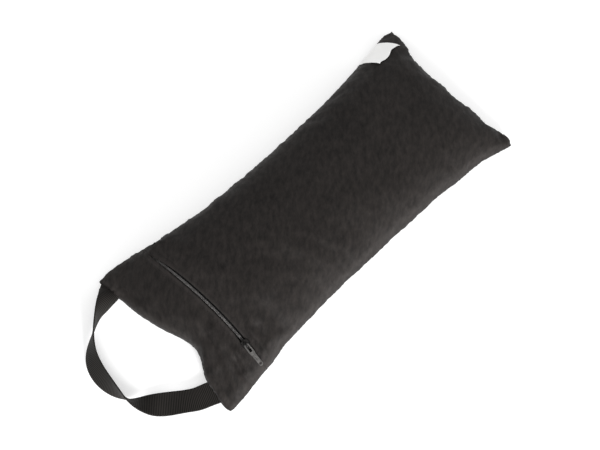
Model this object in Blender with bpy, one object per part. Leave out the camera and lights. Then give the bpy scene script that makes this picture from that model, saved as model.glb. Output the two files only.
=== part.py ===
# Weighted exercise bag: a zipped twill cover round a closed liner full of sand,
# with a webbing handle sewn into one end seam and a blank label in a side seam.
# Sizes are in metres. +X runs from the handle end to the far end and +Z is up.
# The flat underside rests on z = 0 with its middle at the origin.

import math

import bmesh
import bpy
import numpy as np
from mathutils import Matrix, Vector

MM = 0.001

# Plan of the cover, seam to seam
BAG_LENGTH = 430 * MM
WAIST_WIDTH = 162.5 * MM
CORNER_WIDTH = 201 * MM
NEAR_FLARE = 1.9            # powers of the curve from the waist out to the corners
FAR_FLARE = 3.0
BAG_BOW = -4 * MM           # the waist lies this far to the right of the corners' middle
NEAR_SKEW = 2 * MM          # the handle end's seam runs this far off square, each side
NEAR_EAR = 3.5 * MM         # how far its corners stand out
NEAR_DRAW = 15.5 * MM       # how far its slack middle is drawn in
NEAR_DRAW_Y = -22 * MM
NEAR_DRAW_REACH_LEFT = 66 * MM
NEAR_DRAW_REACH_RIGHT = 40 * MM
FAR_SKEW = 2 * MM
FAR_DRAW = 9 * MM

# Heights of the cover
BAG_HEIGHT = 56 * MM
SIDE_SEAM_Z = 14 * MM
END_SEAM_Z = 11 * MM
CORNER_SEAM_Z = 6 * MM
NEAR_FALL = 2.0             # powers of the top's fall towards each end and side
FAR_FALL = 3.4
SIDE_FALL = 2.5
TOP_ROUND = 0.47
SEAM_ROUND = 1.5            # how softly the side seams come down to the corners
FLOOR_FLAT_LONG = 0.8       # shares of the length and the width that lie flat on the floor
FLOOR_FLAT_WIDE = 0.66
FLOOR_FALL = 2.0            # power of the underside's rise beyond them
SWELL_MARGIN = 0.3          # share of half the width over which the swells fade to the seams

# Swells and dents that the sand makes in the top: place along and across the bag,
# reach and height
SAND_SWELLS = [
    (48 * MM, -60 * MM, 26 * MM, 2.4 * MM),
    (0 * MM, -54 * MM, 22 * MM, -1.8 * MM),
    (-52 * MM, -46 * MM, 24 * MM, 1.8 * MM),
    (-80 * MM, -49 * MM, 19 * MM, -3.0 * MM),
    (-117 * MM, -40 * MM, 25 * MM, 1.6 * MM),
    (109 * MM, -38 * MM, 26 * MM, -2.2 * MM),
    (66 * MM, -26 * MM, 24 * MM, -1.4 * MM),
    (172 * MM, -66 * MM, 24 * MM, 2.4 * MM),
    (104 * MM, -72 * MM, 24 * MM, 1.4 * MM),
    (-96 * MM, 8 * MM, 28 * MM, -1.2 * MM),
    (-40 * MM, 60 * MM, 28 * MM, 1.2 * MM),
    (20 * MM, 36 * MM, 34 * MM, -1.2 * MM),
    (92 * MM, 62 * MM, 30 * MM, 1.2 * MM),
    (150 * MM, 20 * MM, 32 * MM, -1.4 * MM),
]

# Layers
COVER_THICKNESS = 1.2 * MM
LINER_THICKNESS = 0.6 * MM
STRIP_THICKNESS = 1.2 * MM
CLEARANCE = 0.3 * MM
LINER_SLACK = 0.6 * MM      # between the cover and the liner
SAND_SLACK = 0.35 * MM      # between the liner and the sand
EDGE_SLACK = 3 * MM         # the liner's edges end this much further in than its faces
CORNER_SLACK = 8 * MM       # and its corners this much further in again
SLACK_GROWTH = 0.4          # how fast both grow from layer to layer inwards

# Zip across the top, near the handle end
ZIP_INSET = 51 * MM         # from the handle end
ZIP_SKEW = math.radians(2.3)    # the zip's left end lies nearer the handle
ZIP_MARGIN = 16.5 * MM      # from each end of the tape to the side seam
CHAIN_MARGIN_RIGHT = 7 * MM     # from each end of the chain to the tape's end
CHAIN_MARGIN_LEFT = 10 * MM
TAPE_WIDTH = 10.5 * MM
TAPE_THICKNESS = 0.7 * MM
CHAIN_HALF_WIDTH = 2.2 * MM
CHAIN_THICKNESS = 1.9 * MM
TOOTH_PITCH = 4.2 * MM
TOOTH_OVERLAP = 0.7 * MM
STOP_LENGTH = 2.4 * MM
SEAT_MARGIN = 3 * MM        # even strip of cover beyond the tape
SEAT_FADE = 25 * MM
SEAT_END = 0.12             # share of half the length over which the seat ends at an end seam
MOUTH_CLOSING = 10 * MM     # the panels' edges meet over this length, past the chain

# Slider and pull, in the slider's own frame: across the zip, along it, up
SLIDER_REST = 2.9 * MM      # from the chain's right end to the slider's middle
SLIDER_LENGTH = 11 * MM
SLIDER_WIDTH = 9 * MM
SLIDER_NOSE = 6.6 * MM
SLIDER_SHOULDER = 3.5 * MM
PLATE_THICKNESS = 1.1 * MM
RIB_THICKNESS = 0.7 * MM
RIB_PLAY = 0.45 * MM        # from the chain to the slider's ribs
MOUTH_PLAY = 0.35 * MM      # from the ribs to the panels' folded edges
PLATE_PLAY = 0.35 * MM      # from the panels up to the upper plate
LOWER_PLATE_PLAY = 0.4 * MM     # from the chain down to the lower plate
POST_WIDTH = 1.8 * MM
POST_LENGTH = 2 * MM
BAIL_WIDTH = 1.6 * MM
BAIL_LENGTH = 7.2 * MM
BAIL_BAR = 1.1 * MM
PULL_THICKNESS = 1.2 * MM
PULL_PLAY = 0.45 * MM
PULL_LENGTH = 27 * MM
PULL_WINDOW = 7.4 * MM
PRONG_WIDTH = 1.4 * MM
PULL_TAIL_WIDTH = 3.4 * MM
PULL_HOLE = 2.2 * MM
PULL_FLARE = 0.6 * MM       # how far each prong widens towards the tail
PULL_TAPER = 0.7 * MM       # how far the tail narrows at its rounded end
PULL_TIP = 2 * MM           # length of that end
CAST_SINK = 0.2 * MM        # how far joined shapes of one casting reach into each other

# Webbing handle
WEBBING_WIDTH = 25 * MM
WEBBING_THICKNESS = 1.6 * MM
ROOT_INSET_LEFT = 21 * MM       # from each corner in to the middle of the webbing
ROOT_INSET_RIGHT = 25.5 * MM
ROOT_REACH = 3.8 * MM       # from the end seam out to the line on which the handle folds
ROOT_TUCK = 9 * MM          # webbing held inside the seam
SLEEVE_MARGIN = 2.5 * MM    # the seam stays open this far beyond the webbing's edges
SLEEVE_FADE = 2.5 * MM      # and closes in this much more
FOLD_CLEARANCE = 0.7 * MM
FOLD_LEAD = 4 * MM          # the handle leaves its roots straight for this length

# Handle at rest, between its roots: distance out from the handle end, share of the
# way from the right root to the left one, height of the lower edge above the floor,
# and roll in degrees. Roll 0 lies flat, and 90 stands on one edge.
HANDLE_ROUTE = [
    (21.0 * MM, 0.971, 1.9 * MM, 42),
    (32.5 * MM, 0.936, 0.8 * MM, 80),
    (48.0 * MM, 0.863, 1.3 * MM, 99),
    (68.0 * MM, 0.709, 1.7 * MM, 124),
    (73.5 * MM, 0.457, 1.4 * MM, 113),
    (65.2 * MM, 0.304, 0.8 * MM, 54),
    (46.4 * MM, 0.183, 4.6 * MM, 4),
    (23.0 * MM, 0.074, 5.2 * MM, 0),
]

# Blank satin label, sewn into the left side seam and turned up over the top
LABEL_INSET = 15.5 * MM     # from the far end
LABEL_WIDTH = 40 * MM
LABEL_REACH = 27 * MM
LABEL_SKEW = 8 * MM
LABEL_THICKNESS = 0.5 * MM
LABEL_LIFT = 0.5 * MM

# Liner's mouth, pressed flat between the zip and the handle end
MOUTH_INSET = 15 * MM
STRIP_INSET = 1.1 * MM      # from the mouth to the strips
STRIP_LENGTH = 16 * MM
STRIP_V = 0.78              # share of the width that the strips take up
FLAT_MARGIN = 6 * MM        # from the strips to where the liner starts to open out
OPENING_LENGTH = 55 * MM    # over which it opens out
SAND_MARGIN = 12 * MM       # from where it starts to open out to the sand
CLOSURE_RISE = 8            # how steeply the closed mouth rises from its side edges

# Facets
COLUMNS = 16
LEAST_COLUMN = 0.03
MAIN_ROWS = 26
END_ROWS = 8
BACK_ROWS = 22
INNER_COLUMNS = 16
INNER_ROWS = 22
MOUTH_ROWS = 4
ZIP_STEPS = 34
HANDLE_STEPS = 76
LABEL_ROWS = 8
LABEL_COLUMNS = 10
LABEL_GATHER = 1.8          # draws its facets towards the seam, where it bends most

TWILL = ((0.021, 0.019, 0.018), 0.9, 0.0)
WEBBING = ((0.014, 0.013, 0.013), 0.8, 0.0)
TAPE = ((0.016, 0.015, 0.016), 0.85, 0.0)
NYLON = ((0.12, 0.115, 0.115), 0.45, 0.0)
GUNMETAL = ((0.16, 0.16, 0.165), 0.32, 1.0)
SATIN = ((0.83, 0.83, 0.82), 0.5, 0.0)
LINER_CLOTH = ((0.03, 0.03, 0.032), 0.7, 0.0)
HOOK = ((0.02, 0.02, 0.02), 0.85, 0.0)
SAND = ((0.42, 0.33, 0.22), 0.95, 0.0)

HALF_LENGTH = BAG_LENGTH / 2
HALF_SEAM = CLEARANCE / 2
BOW_POWER = 3               # keeps the bow away from the ends
EAR_POWER = 6
END_POWER = 6               # powers that keep a change close to an end, an edge or a corner
EDGE_POWER = 12
CORNER_POWER = 8
ROOT_Y_LEFT = CORNER_WIDTH / 2 - ROOT_INSET_LEFT
ROOT_Y_RIGHT = ROOT_INSET_RIGHT - CORNER_WIDTH / 2
SLEEVE_HALF = WEBBING_WIDTH / 2 + SLEEVE_MARGIN
ROOT_INNER_V = (min(ROOT_Y_LEFT, -ROOT_Y_RIGHT) - SLEEVE_HALF) / (CORNER_WIDTH / 2)
RIB_OUT = CHAIN_HALF_WIDTH + RIB_PLAY + RIB_THICKNESS
MOUTH_HALF = RIB_OUT + MOUTH_PLAY
TAPE_TOP = -(COVER_THICKNESS + CLEARANCE)
TAPE_EDGE = CHAIN_HALF_WIDTH + CLEARANCE
CHAIN_MIDDLE = TAPE_TOP - TAPE_THICKNESS / 2
CHAIN_TOP = CHAIN_MIDDLE + CHAIN_THICKNESS / 2
CHAIN_BOTTOM = CHAIN_MIDDLE - CHAIN_THICKNESS / 2
PLATE_TOP = PLATE_PLAY + PLATE_THICKNESS
LOWER_PLATE_TOP = CHAIN_BOTTOM - LOWER_PLATE_PLAY
PULL_AXIS_UP = PLATE_TOP + PULL_PLAY + PULL_THICKNESS / 2
BAIL_INSIDE = PULL_AXIS_UP + PULL_THICKNESS / 2 + PULL_PLAY
LINER_DEPTH = COVER_THICKNESS + LINER_SLACK
SAND_DEPTH = LINER_DEPTH + LINER_THICKNESS + SAND_SLACK
ZIP_X = ZIP_INSET - HALF_LENGTH
MOUTH_X = MOUTH_INSET - HALF_LENGTH
STRIP_START_X = MOUTH_X + STRIP_INSET
STRIP_END_X = STRIP_START_X + STRIP_LENGTH
PINCH_END_X = STRIP_END_X + FLAT_MARGIN
PINCH_START_X = PINCH_END_X + OPENING_LENGTH
SAND_END_X = PINCH_END_X + SAND_MARGIN


def smooth_step(value):
    """A value from 0 to 1 that eases out of 0 and into 1."""
    value = min(1.0, max(0.0, value))
    return value * value * (3 - 2 * value)


def mix(first, second, share):
    """The value a share of the way from the first to the second."""
    return first + (second - first) * share


def half_width(u):
    """Half the cover's plan width at u, which runs -1 to 1 from end to end."""
    flare = NEAR_FLARE if u < 0 else FAR_FLARE
    return mix(WAIST_WIDTH, CORNER_WIDTH, abs(u) ** flare) / 2


TAPE_HALF_LENGTH = half_width(ZIP_X / HALF_LENGTH) - ZIP_MARGIN
CHAIN_START = CHAIN_MARGIN_RIGHT - TAPE_HALF_LENGTH     # along the zip, from its middle
CHAIN_END = TAPE_HALF_LENGTH - CHAIN_MARGIN_LEFT
SLIDER_S = CHAIN_START + SLIDER_REST


def bow(u):
    """How far the cover's middle line lies to the left of the corners' middle."""
    return BAG_BOW * (1 - u) * (1 - u * u) ** BOW_POWER


def end_shift(u, v):
    """How far an end seam lies off its square line, at v across the cover."""
    if u < 0:
        offset = v * CORNER_WIDTH / 2 - NEAR_DRAW_Y
        reach = NEAR_DRAW_REACH_LEFT if offset > 0 else NEAR_DRAW_REACH_RIGHT
        share = min(1.0, abs(offset) / reach)
        return NEAR_DRAW * (1 - share * share) ** 2 - NEAR_SKEW * v - NEAR_EAR * v ** EAR_POWER
    return FAR_SKEW * v - FAR_DRAW * (1 - v ** 4)


def plan(u, v, depth=0.0):
    """Plan point of a layer that lies a depth inside the cover's outer face."""
    inset = depth
    if depth > COVER_THICKNESS:
        layer = (depth - COVER_THICKNESS) / LINER_SLACK
        inset += mix(1, layer, SLACK_GROWTH) * (EDGE_SLACK + CORNER_SLACK * abs(u * v) ** CORNER_POWER)
    x = u * HALF_LENGTH - math.copysign(inset * abs(u) ** EDGE_POWER, u)
    x += end_shift(u, v) * abs(u) ** END_POWER
    return x, bow(u) + v * (half_width(u) - inset)


def locate(x, y):
    """The u and v of a plan point on the cover's outer face."""
    u = max(-1.0, min(1.0, x / HALF_LENGTH))
    v = 0.0
    for _ in range(30):
        v = max(-1.0, min(1.0, (y - bow(u)) / half_width(u)))
        u = (x - abs(u) ** END_POWER * end_shift(u, v)) / HALF_LENGTH
        u = max(-1.0, min(1.0, u))
    return u, v


def seam_height(u, v):
    """Height of the surface in which all the cover's seams lie."""
    side = (SIDE_SEAM_Z - CORNER_SEAM_Z) * max(0.0, 1 - u * u) ** SEAM_ROUND
    rise = 1 - smooth_step(2 * abs(v) / ROOT_INNER_V - 1)
    return CORNER_SEAM_Z + side + (END_SEAM_Z - CORNER_SEAM_Z) * rise


def sleeve(u, v):
    """How far the end seam opens, each way, to take the webbing in."""
    if u > 0:
        return 0.0
    y = v * half_width(-1)
    root = ROOT_Y_LEFT if v > 0 else ROOT_Y_RIGHT
    closed = smooth_step((abs(y - root) - SLEEVE_HALF) / SLEEVE_FADE)
    return (WEBBING_THICKNESS / 2 + CLEARANCE - HALF_SEAM) * (1 - closed) * abs(u) ** EDGE_POWER


def rim_offset(u, v, depth):
    """How far a layer's rim lies above or below the seams."""
    return max(0.0, HALF_SEAM + COVER_THICKNESS - depth + sleeve(u, v))


def free_top(u, v, depth):
    """Height of the top, or of a layer under it, without the zip."""
    fall = NEAR_FALL if u < 0 else FAR_FALL
    swell = max(0.0, (1 - abs(u) ** fall) * (1 - abs(v) ** SIDE_FALL)) ** TOP_ROUND
    return mix(seam_height(u, v) + rim_offset(u, v, depth), BAG_HEIGHT - depth, swell)


def beyond(value, flat):
    """How far u or v is past the flat share of its range, from 0 to 1."""
    return max(0.0, (abs(value) - flat) / (1 - flat))


def free_bottom(u, v, depth):
    """Height of the underside, or of a layer above it. Its middle lies flat."""
    long_fall = beyond(u, FLOOR_FLAT_LONG) ** FLOOR_FALL
    wide_fall = beyond(v, FLOOR_FLAT_WIDE) ** FLOOR_FALL
    swell = max(0.0, (1 - long_fall) * (1 - wide_fall)) ** TOP_ROUND
    return mix(seam_height(u, v) - rim_offset(u, v, depth), depth, swell)


def sand_swell(u, v):
    """How far the sand lifts the top. The seams stay as they are."""
    x, y = u * HALF_LENGTH, bow(u) + v * half_width(u)
    lift = sum(height * math.exp(-((x - along) ** 2 + (y - across) ** 2) / reach ** 2)
               for along, across, reach, height in SAND_SWELLS)
    return lift * smooth_step((1 - max(abs(u), abs(v))) / SWELL_MARGIN)


def zip_to_plan(across, along):
    """Plan point of a place given square to the zip's line and along it."""
    x = ZIP_X + across * math.cos(ZIP_SKEW) - along * math.sin(ZIP_SKEW)
    return x, across * math.sin(ZIP_SKEW) + along * math.cos(ZIP_SKEW)


def plan_to_zip(x, y):
    """A plan point's place square to the zip's line and along it."""
    across = (x - ZIP_X) * math.cos(ZIP_SKEW) + y * math.sin(ZIP_SKEW)
    return across, y * math.cos(ZIP_SKEW) - (x - ZIP_X) * math.sin(ZIP_SKEW)


def zip_seat():
    """Radius, crest height and tilt of the cone on which the zip lies."""
    def height(across, along):
        return free_top(*locate(*zip_to_plan(across, along)), 0)
    crest = height(0, 0)
    drop = crest - (height(0, CHAIN_END) + height(0, -CHAIN_END)) / 2
    radius = (CHAIN_END ** 2 + drop ** 2) / (2 * drop)
    rise = height(TAPE_WIDTH, 0) - height(-TAPE_WIDTH, 0)
    return radius, crest, math.atan(rise / (2 * TAPE_WIDTH))


SEAT_RADIUS, SEAT_CREST, SEAT_TILT = zip_seat()
SEAT_AXIS_Z = SEAT_CREST - SEAT_RADIUS
SEAT_HALF = TAPE_EDGE + TAPE_WIDTH + SEAT_MARGIN


def zip_point(across, along, up):
    """World place of a point given across the zip, along its arc and up from it."""
    reach = SEAT_RADIUS + across * math.sin(SEAT_TILT) + up * math.cos(SEAT_TILT)
    angle = along / SEAT_RADIUS
    square = across * math.cos(SEAT_TILT) - up * math.sin(SEAT_TILT)
    x, y = zip_to_plan(square, reach * math.sin(angle))
    return Vector((x, y, SEAT_AXIS_Z + reach * math.cos(angle)))


def zip_frame(along):
    """Matrix that carries a rigid piece's own frame to its place on the zip."""
    angle = along / SEAT_RADIUS
    turn = Matrix.Rotation(ZIP_SKEW, 4, "Z") @ Matrix.Rotation(-angle, 4, "X")
    turn = turn @ Matrix.Rotation(-SEAT_TILT, 4, "Y")
    return Matrix.Translation(zip_point(0, along, 0)) @ turn


def top_height(u, v, depth):
    """Height of the top, or of a layer under it, with its seat for the zip."""
    x, y = plan(u, v, depth)
    free = free_top(u, v, depth) + sand_swell(u, v)
    across, along = plan_to_zip(x, y)
    reach = SEAT_RADIUS + across * math.tan(SEAT_TILT) - depth / math.cos(SEAT_TILT)
    seat = SEAT_AXIS_Z + math.sqrt(reach * reach - along * along)
    even = TAPE_HALF_LENGTH + SEAT_MARGIN
    weight = 1 - smooth_step((abs(across) - SEAT_HALF) / SEAT_FADE)
    weight *= 1 - smooth_step((abs(v) * half_width(u) - even) / (half_width(u) - even))
    weight *= smooth_step((1 - abs(u)) / SEAT_END)
    return mix(free, seat, weight)


def cover_top(u, v, depth):
    """Point on the top panels."""
    x, y = plan(u, v, depth)
    return Vector((x, y, top_height(u, v, depth)))


def cover_bottom(u, v, depth):
    """Point on the back panel."""
    x, y = plan(u, v, depth)
    return Vector((x, y, free_bottom(u, v, depth)))


def closure_level(depth):
    """Height, above the closure's middle, of a liner layer at a given depth."""
    inner = CLEARANCE / 2 + STRIP_THICKNESS + CLEARANCE
    return inner + LINER_DEPTH + LINER_THICKNESS - depth


def inner_point(u, v, depth, side, level=None):
    """Point on the liner or the sand, pressed flat towards the liner's mouth."""
    x, y = plan(u, v, depth)
    seam = seam_height(u, v)
    height = top_height(u, v, depth) if side > 0 else free_bottom(u, v, depth)
    pinch = smooth_step((PINCH_START_X - x) / (PINCH_START_X - PINCH_END_X))
    level = closure_level(depth) if level is None else level
    flat = side * level * min(1.0, (1 - abs(v)) * CLOSURE_RISE)
    return Vector((x, y, seam + mix(height - seam, flat, pinch)))


def spaced(count, gather):
    """Values from 0 to 1, closer together at both ends as gather nears 1."""
    steps = [index / count for index in range(count + 1)]
    return [mix(step, (1 - math.cos(math.pi * step)) / 2, gather) for step in steps]


def across_values(count):
    """Values of v from side seam to side seam."""
    return [2 * step - 1 for step in spaced(count, 0.75)]


def with_edges(values, edges):
    """Values from -1 to 1 with the edges added, and none left close to an edge."""
    kept = [value for value in values
            if abs(value) == 1 or min(abs(value - edge) for edge in edges) > LEAST_COLUMN]
    return sorted(kept + [edge for edge in edges if abs(edge) < 1 - LEAST_COLUMN / 2])


def panel_columns():
    """The cover's values of v, which meet the flat part, the sleeves and the zip's ends."""
    edges = [-FLOOR_FLAT_WIDE, FLOOR_FLAT_WIDE]
    for reach in (TAPE_HALF_LENGTH - MOUTH_CLOSING / 2, TAPE_HALF_LENGTH + SEAT_MARGIN):
        edge = reach / half_width(ZIP_X / HALF_LENGTH)
        edges += [-edge, edge]
    for root in (ROOT_Y_LEFT, ROOT_Y_RIGHT):
        for reach in (SLEEVE_HALF, SLEEVE_HALF + SLEEVE_FADE):
            edges += [(root - reach) / half_width(-1), (root + reach) / half_width(-1)]
    return with_edges(across_values(COLUMNS), edges)


def new_material(name, finish):
    """A plain material with a colour, a roughness and a metallic value."""
    colour, roughness, metallic = finish
    material = bpy.data.materials.new(name)
    material.use_nodes = True
    shader = material.node_tree.nodes["Principled BSDF"]
    shader.inputs["Base Color"].default_value = (*colour, 1)
    shader.inputs["Roughness"].default_value = roughness
    shader.inputs["Metallic"].default_value = metallic
    material.diffuse_color = (*colour, 1)
    return material


def add_object(shape, name, finish=None, matrix=None):
    """An object with its origin at the matrix and its shape in that frame."""
    mesh = bpy.data.meshes.new(name)
    bmesh.ops.recalc_face_normals(shape, faces=shape.faces)
    if shape.calc_volume(signed=True) < 0:
        bmesh.ops.reverse_faces(shape, faces=shape.faces)
    shape.to_mesh(mesh)
    shape.free()
    piece = bpy.data.objects.new(name, mesh)
    bpy.context.scene.collection.objects.link(piece)
    if matrix is not None:
        piece.matrix_world = matrix
    if finish is not None:
        mesh.materials.append(new_material(name, finish))
    return piece


def add_helper(shape, name, matrix=None):
    """A shape that only cuts or joins another, and isn't a piece."""
    piece = add_object(shape, name, matrix=matrix)
    piece.hide_render = True
    piece.display_type = "WIRE"
    return piece


def add_boolean(piece, tool, operation):
    """A Boolean of one shape with another."""
    modifier = piece.modifiers.new(tool.name, "BOOLEAN")
    modifier.object = tool
    modifier.operation = operation


def add_pivot(name, place):
    """An empty on a joint's axis."""
    pivot = bpy.data.objects.new(name, None)
    pivot.location = place
    bpy.context.scene.collection.objects.link(pivot)
    return pivot


def hang_on(piece, pivot):
    """Parents a piece to a pivot and leaves it where it is."""
    bpy.context.view_layer.update()
    piece.parent = pivot
    piece.matrix_parent_inverse = pivot.matrix_world.inverted()


def slab(rows, columns, place, keep=None):
    """A closed solid over a grid of cells, with faces at levels 0 and 1.

    place(row, column, level) gives a corner, and keep(i, j) says which cells
    are there.
    """
    shape = bmesh.new()
    corners = {}

    def corner(i, j, level):
        if (i, j, level) not in corners:
            corners[i, j, level] = shape.verts.new(place(rows[i], columns[j], level))
        return corners[i, j, level]

    last_row, last_column = len(rows) - 1, len(columns) - 1
    cells = {(i, j) for i in range(last_row) for j in range(last_column)
             if keep is None or keep(i, j)}
    for i, j in sorted(cells):
        ring = [(i, j), (i + 1, j), (i + 1, j + 1), (i, j + 1)]
        for level in (0, 1):
            shape.faces.new([corner(*spot, level) for spot in ring])
        beyond = [(i, j - 1), (i + 1, j), (i, j + 1), (i - 1, j)]
        for index, other in enumerate(beyond):
            if other not in cells:
                start, end = ring[index], ring[(index + 1) % 4]
                shape.faces.new([corner(*start, 0), corner(*end, 0),
                                 corner(*end, 1), corner(*start, 1)])
    return shape


def block(low, high):
    """A box between two corners."""
    def place(row, column, level):
        return Vector((row, column, low[2] if level else high[2]))
    return slab([low[0], high[0]], [low[1], high[1]], place)


def zip_mouth(along):
    """Half the gap between the two top panels' folded edges, along the zip."""
    closing = smooth_step((abs(along) - TAPE_HALF_LENGTH + MOUTH_CLOSING / 2) / MOUTH_CLOSING)
    return mix(MOUTH_HALF, HALF_SEAM, closing)


def mouth_station(v, side):
    """The u at which a top panel's folded edge lies, on one side of the zip."""
    low, high = -1.0, 0.0
    for _ in range(40):
        middle = (low + high) / 2
        across, along = plan_to_zip(*plan(middle, v))
        if across < side * zip_mouth(along) * math.cos(SEAT_TILT):
            low = middle
        else:
            high = middle
    return middle


def build_top_panels():
    """The two panels of the top, which the zip joins."""
    for name, side, count in (("cover_main_panel", 1, MAIN_ROWS), ("cover_end_panel", -1, END_ROWS)):
        columns = panel_columns()
        start = {v: mouth_station(v, side) for v in columns}

        def place(row, v, level, side=side, start=start):
            return cover_top(mix(start[v], side, row), v, level * COVER_THICKNESS)

        shape = slab(spaced(count, 0.5), columns, place)
        add_object(shape, name, TWILL)


def build_back_panel():
    """The underside, with the side walls up to the seam."""
    def place(u, v, level):
        return cover_bottom(u, v, level * COVER_THICKNESS)
    rows = [2 * step - 1 for step in spaced(BACK_ROWS, 0.6)]
    rows = with_edges(rows, [-FLOOR_FLAT_LONG, FLOOR_FLAT_LONG])
    shape = slab(rows, panel_columns(), place)
    add_object(shape, "cover_back_panel", TWILL)


def lens_faces(shape, rows, columns, point):
    """A closed pouch, open at its first row. Returns that row, above and below."""
    first = None
    previous = None
    for u in rows:
        above = [shape.verts.new(point(u, v, 1)) for v in columns]
        if u == rows[-1]:
            below = above
        else:
            below = [above[0]]
            below += [shape.verts.new(point(u, v, -1)) for v in columns[1:-1]]
            below += [above[-1]]
        if previous is None:
            first = (above, below)
        else:
            for line, last in zip((above, below), previous):
                for j in range(len(columns) - 1):
                    shape.faces.new([last[j], last[j + 1], line[j + 1], line[j]])
        previous = (above, below)
    return first


def join_rows(shape, first, second):
    """Faces between two rows of vertices, which may share their end vertices."""
    for j in range(len(first) - 1):
        ring = []
        for vertex in (first[j], first[j + 1], second[j + 1], second[j]):
            if vertex not in ring:
                ring.append(vertex)
        shape.faces.new(ring)


def sand_rows():
    """Values of u from the sand's near end to the far end."""
    start = locate(SAND_END_X, 0)[0]
    return [mix(start, 1.0, step) for step in spaced(INNER_ROWS, 0.5)]


def liner_rows():
    """Values of u from the liner's mouth to the far end, on the sand's rows."""
    rows = sand_rows()
    return [mix(MOUTH_X / HALF_LENGTH, rows[0], step / MOUTH_ROWS) for step in range(MOUTH_ROWS)] + rows


def build_liner():
    """The liner, a thin bag with its mouth towards the handle end."""
    shape = bmesh.new()
    columns = across_values(INNER_COLUMNS)
    rims = []
    for depth in (LINER_DEPTH, LINER_DEPTH + LINER_THICKNESS):
        def point(u, v, side, depth=depth):
            return inner_point(u, v, depth, side)
        rims.append(lens_faces(shape, liner_rows(), columns, point))
    for outer, inner in zip(rims[0], rims[1]):
        join_rows(shape, outer, inner)
    add_object(shape, "liner_bag", LINER_CLOTH)


def build_closure_strips():
    """The hook and the loop strip that hold the liner's mouth shut."""
    rows = [mix(STRIP_START_X, STRIP_END_X, step / 3) / HALF_LENGTH for step in range(4)]
    columns = [v for v in across_values(INNER_COLUMNS) if abs(v) <= STRIP_V]
    base = LINER_DEPTH + LINER_THICKNESS
    for name, side in (("liner_hook_strip", 1), ("liner_loop_strip", -1)):
        def place(u, v, level, side=side):
            height = CLEARANCE / 2 + (1 - level) * STRIP_THICKNESS
            return inner_point(u, v, base, side, height)
        add_object(slab(rows, columns, place), name, HOOK)


def build_sand():
    """The sand, which fills the liner up to its closed mouth."""
    shape = bmesh.new()

    def point(u, v, side):
        return inner_point(u, v, SAND_DEPTH, side)

    above, below = lens_faces(shape, sand_rows(), across_values(INNER_COLUMNS), point)
    join_rows(shape, above, below)
    add_object(shape, "sand_fill", SAND)


def build_tapes():
    """The two woven tapes under the panels' folded edges."""
    steps = [mix(-TAPE_HALF_LENGTH, TAPE_HALF_LENGTH, step / ZIP_STEPS) for step in range(ZIP_STEPS + 1)]
    for name, side in (("zip_tape_far", 1), ("zip_tape_near", -1)):
        def place(along, across, level, side=side):
            return zip_point(side * across, along, TAPE_TOP - level * TAPE_THICKNESS)
        shape = slab(steps, [TAPE_EDGE, TAPE_EDGE + TAPE_WIDTH], place)
        add_object(shape, name, TAPE)


def build_teeth():
    """The two halves of the chain, whose teeth lie between each other's."""
    tooth = TOOTH_PITCH / 2 - CLEARANCE
    count = int((CHAIN_END - CHAIN_START - tooth) / TOOTH_PITCH)
    edges = [-TOOTH_OVERLAP, TOOTH_OVERLAP + CLEARANCE, CHAIN_HALF_WIDTH]
    for name, side, lead in (("zip_teeth_far", 1, 0.0), ("zip_teeth_near", -1, TOOTH_PITCH / 2)):
        steps = [CHAIN_START]
        for index in range(count):
            start = CHAIN_START + lead + index * TOOTH_PITCH
            steps += [step for step in (start, start + tooth) if step > CHAIN_START]
        steps.append(CHAIN_END)
        first_tooth = 0 if lead == 0 else 1

        def place(along, across, level, side=side):
            return zip_point(side * across, along, CHAIN_BOTTOM if level else CHAIN_TOP)

        def keep(i, j, first_tooth=first_tooth, last=len(steps) - 2):
            return j == 1 or ((i - first_tooth) % 2 == 0 and i < last)

        add_object(slab(steps, edges, place, keep), name, NYLON)


def build_stops():
    """The stops at the ends of the chain."""
    top_end = SLIDER_S - SLIDER_LENGTH / 2 - CLEARANCE
    lots = [("zip_top_stop_far", 1, top_end, TOOTH_OVERLAP + CLEARANCE),
            ("zip_top_stop_near", -1, top_end, TOOTH_OVERLAP + CLEARANCE),
            ("zip_bottom_stop", 1, CHAIN_END + CLEARANCE + STOP_LENGTH, -CHAIN_HALF_WIDTH)]
    for name, side, end, inner in lots:
        def place(along, across, level, side=side):
            return zip_point(side * across, along, CHAIN_BOTTOM if level else CHAIN_TOP)
        shape = slab([end - STOP_LENGTH, end], [inner, CHAIN_HALF_WIDTH], place)
        add_object(shape, name, GUNMETAL)


def slider_plate(low, high):
    """One plate of the slider, narrower at its nose and its tail."""
    lengths = [-SLIDER_LENGTH / 2, -SLIDER_SHOULDER, SLIDER_SHOULDER, SLIDER_LENGTH / 2]
    widths = dict(zip(lengths, (SLIDER_NOSE, SLIDER_WIDTH, SLIDER_WIDTH, SLIDER_NOSE)))

    def place(along, share, level):
        return Vector((share * widths[along] / 2, along, low if level else high))
    return slab(lengths, [-1, 1], place)


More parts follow.
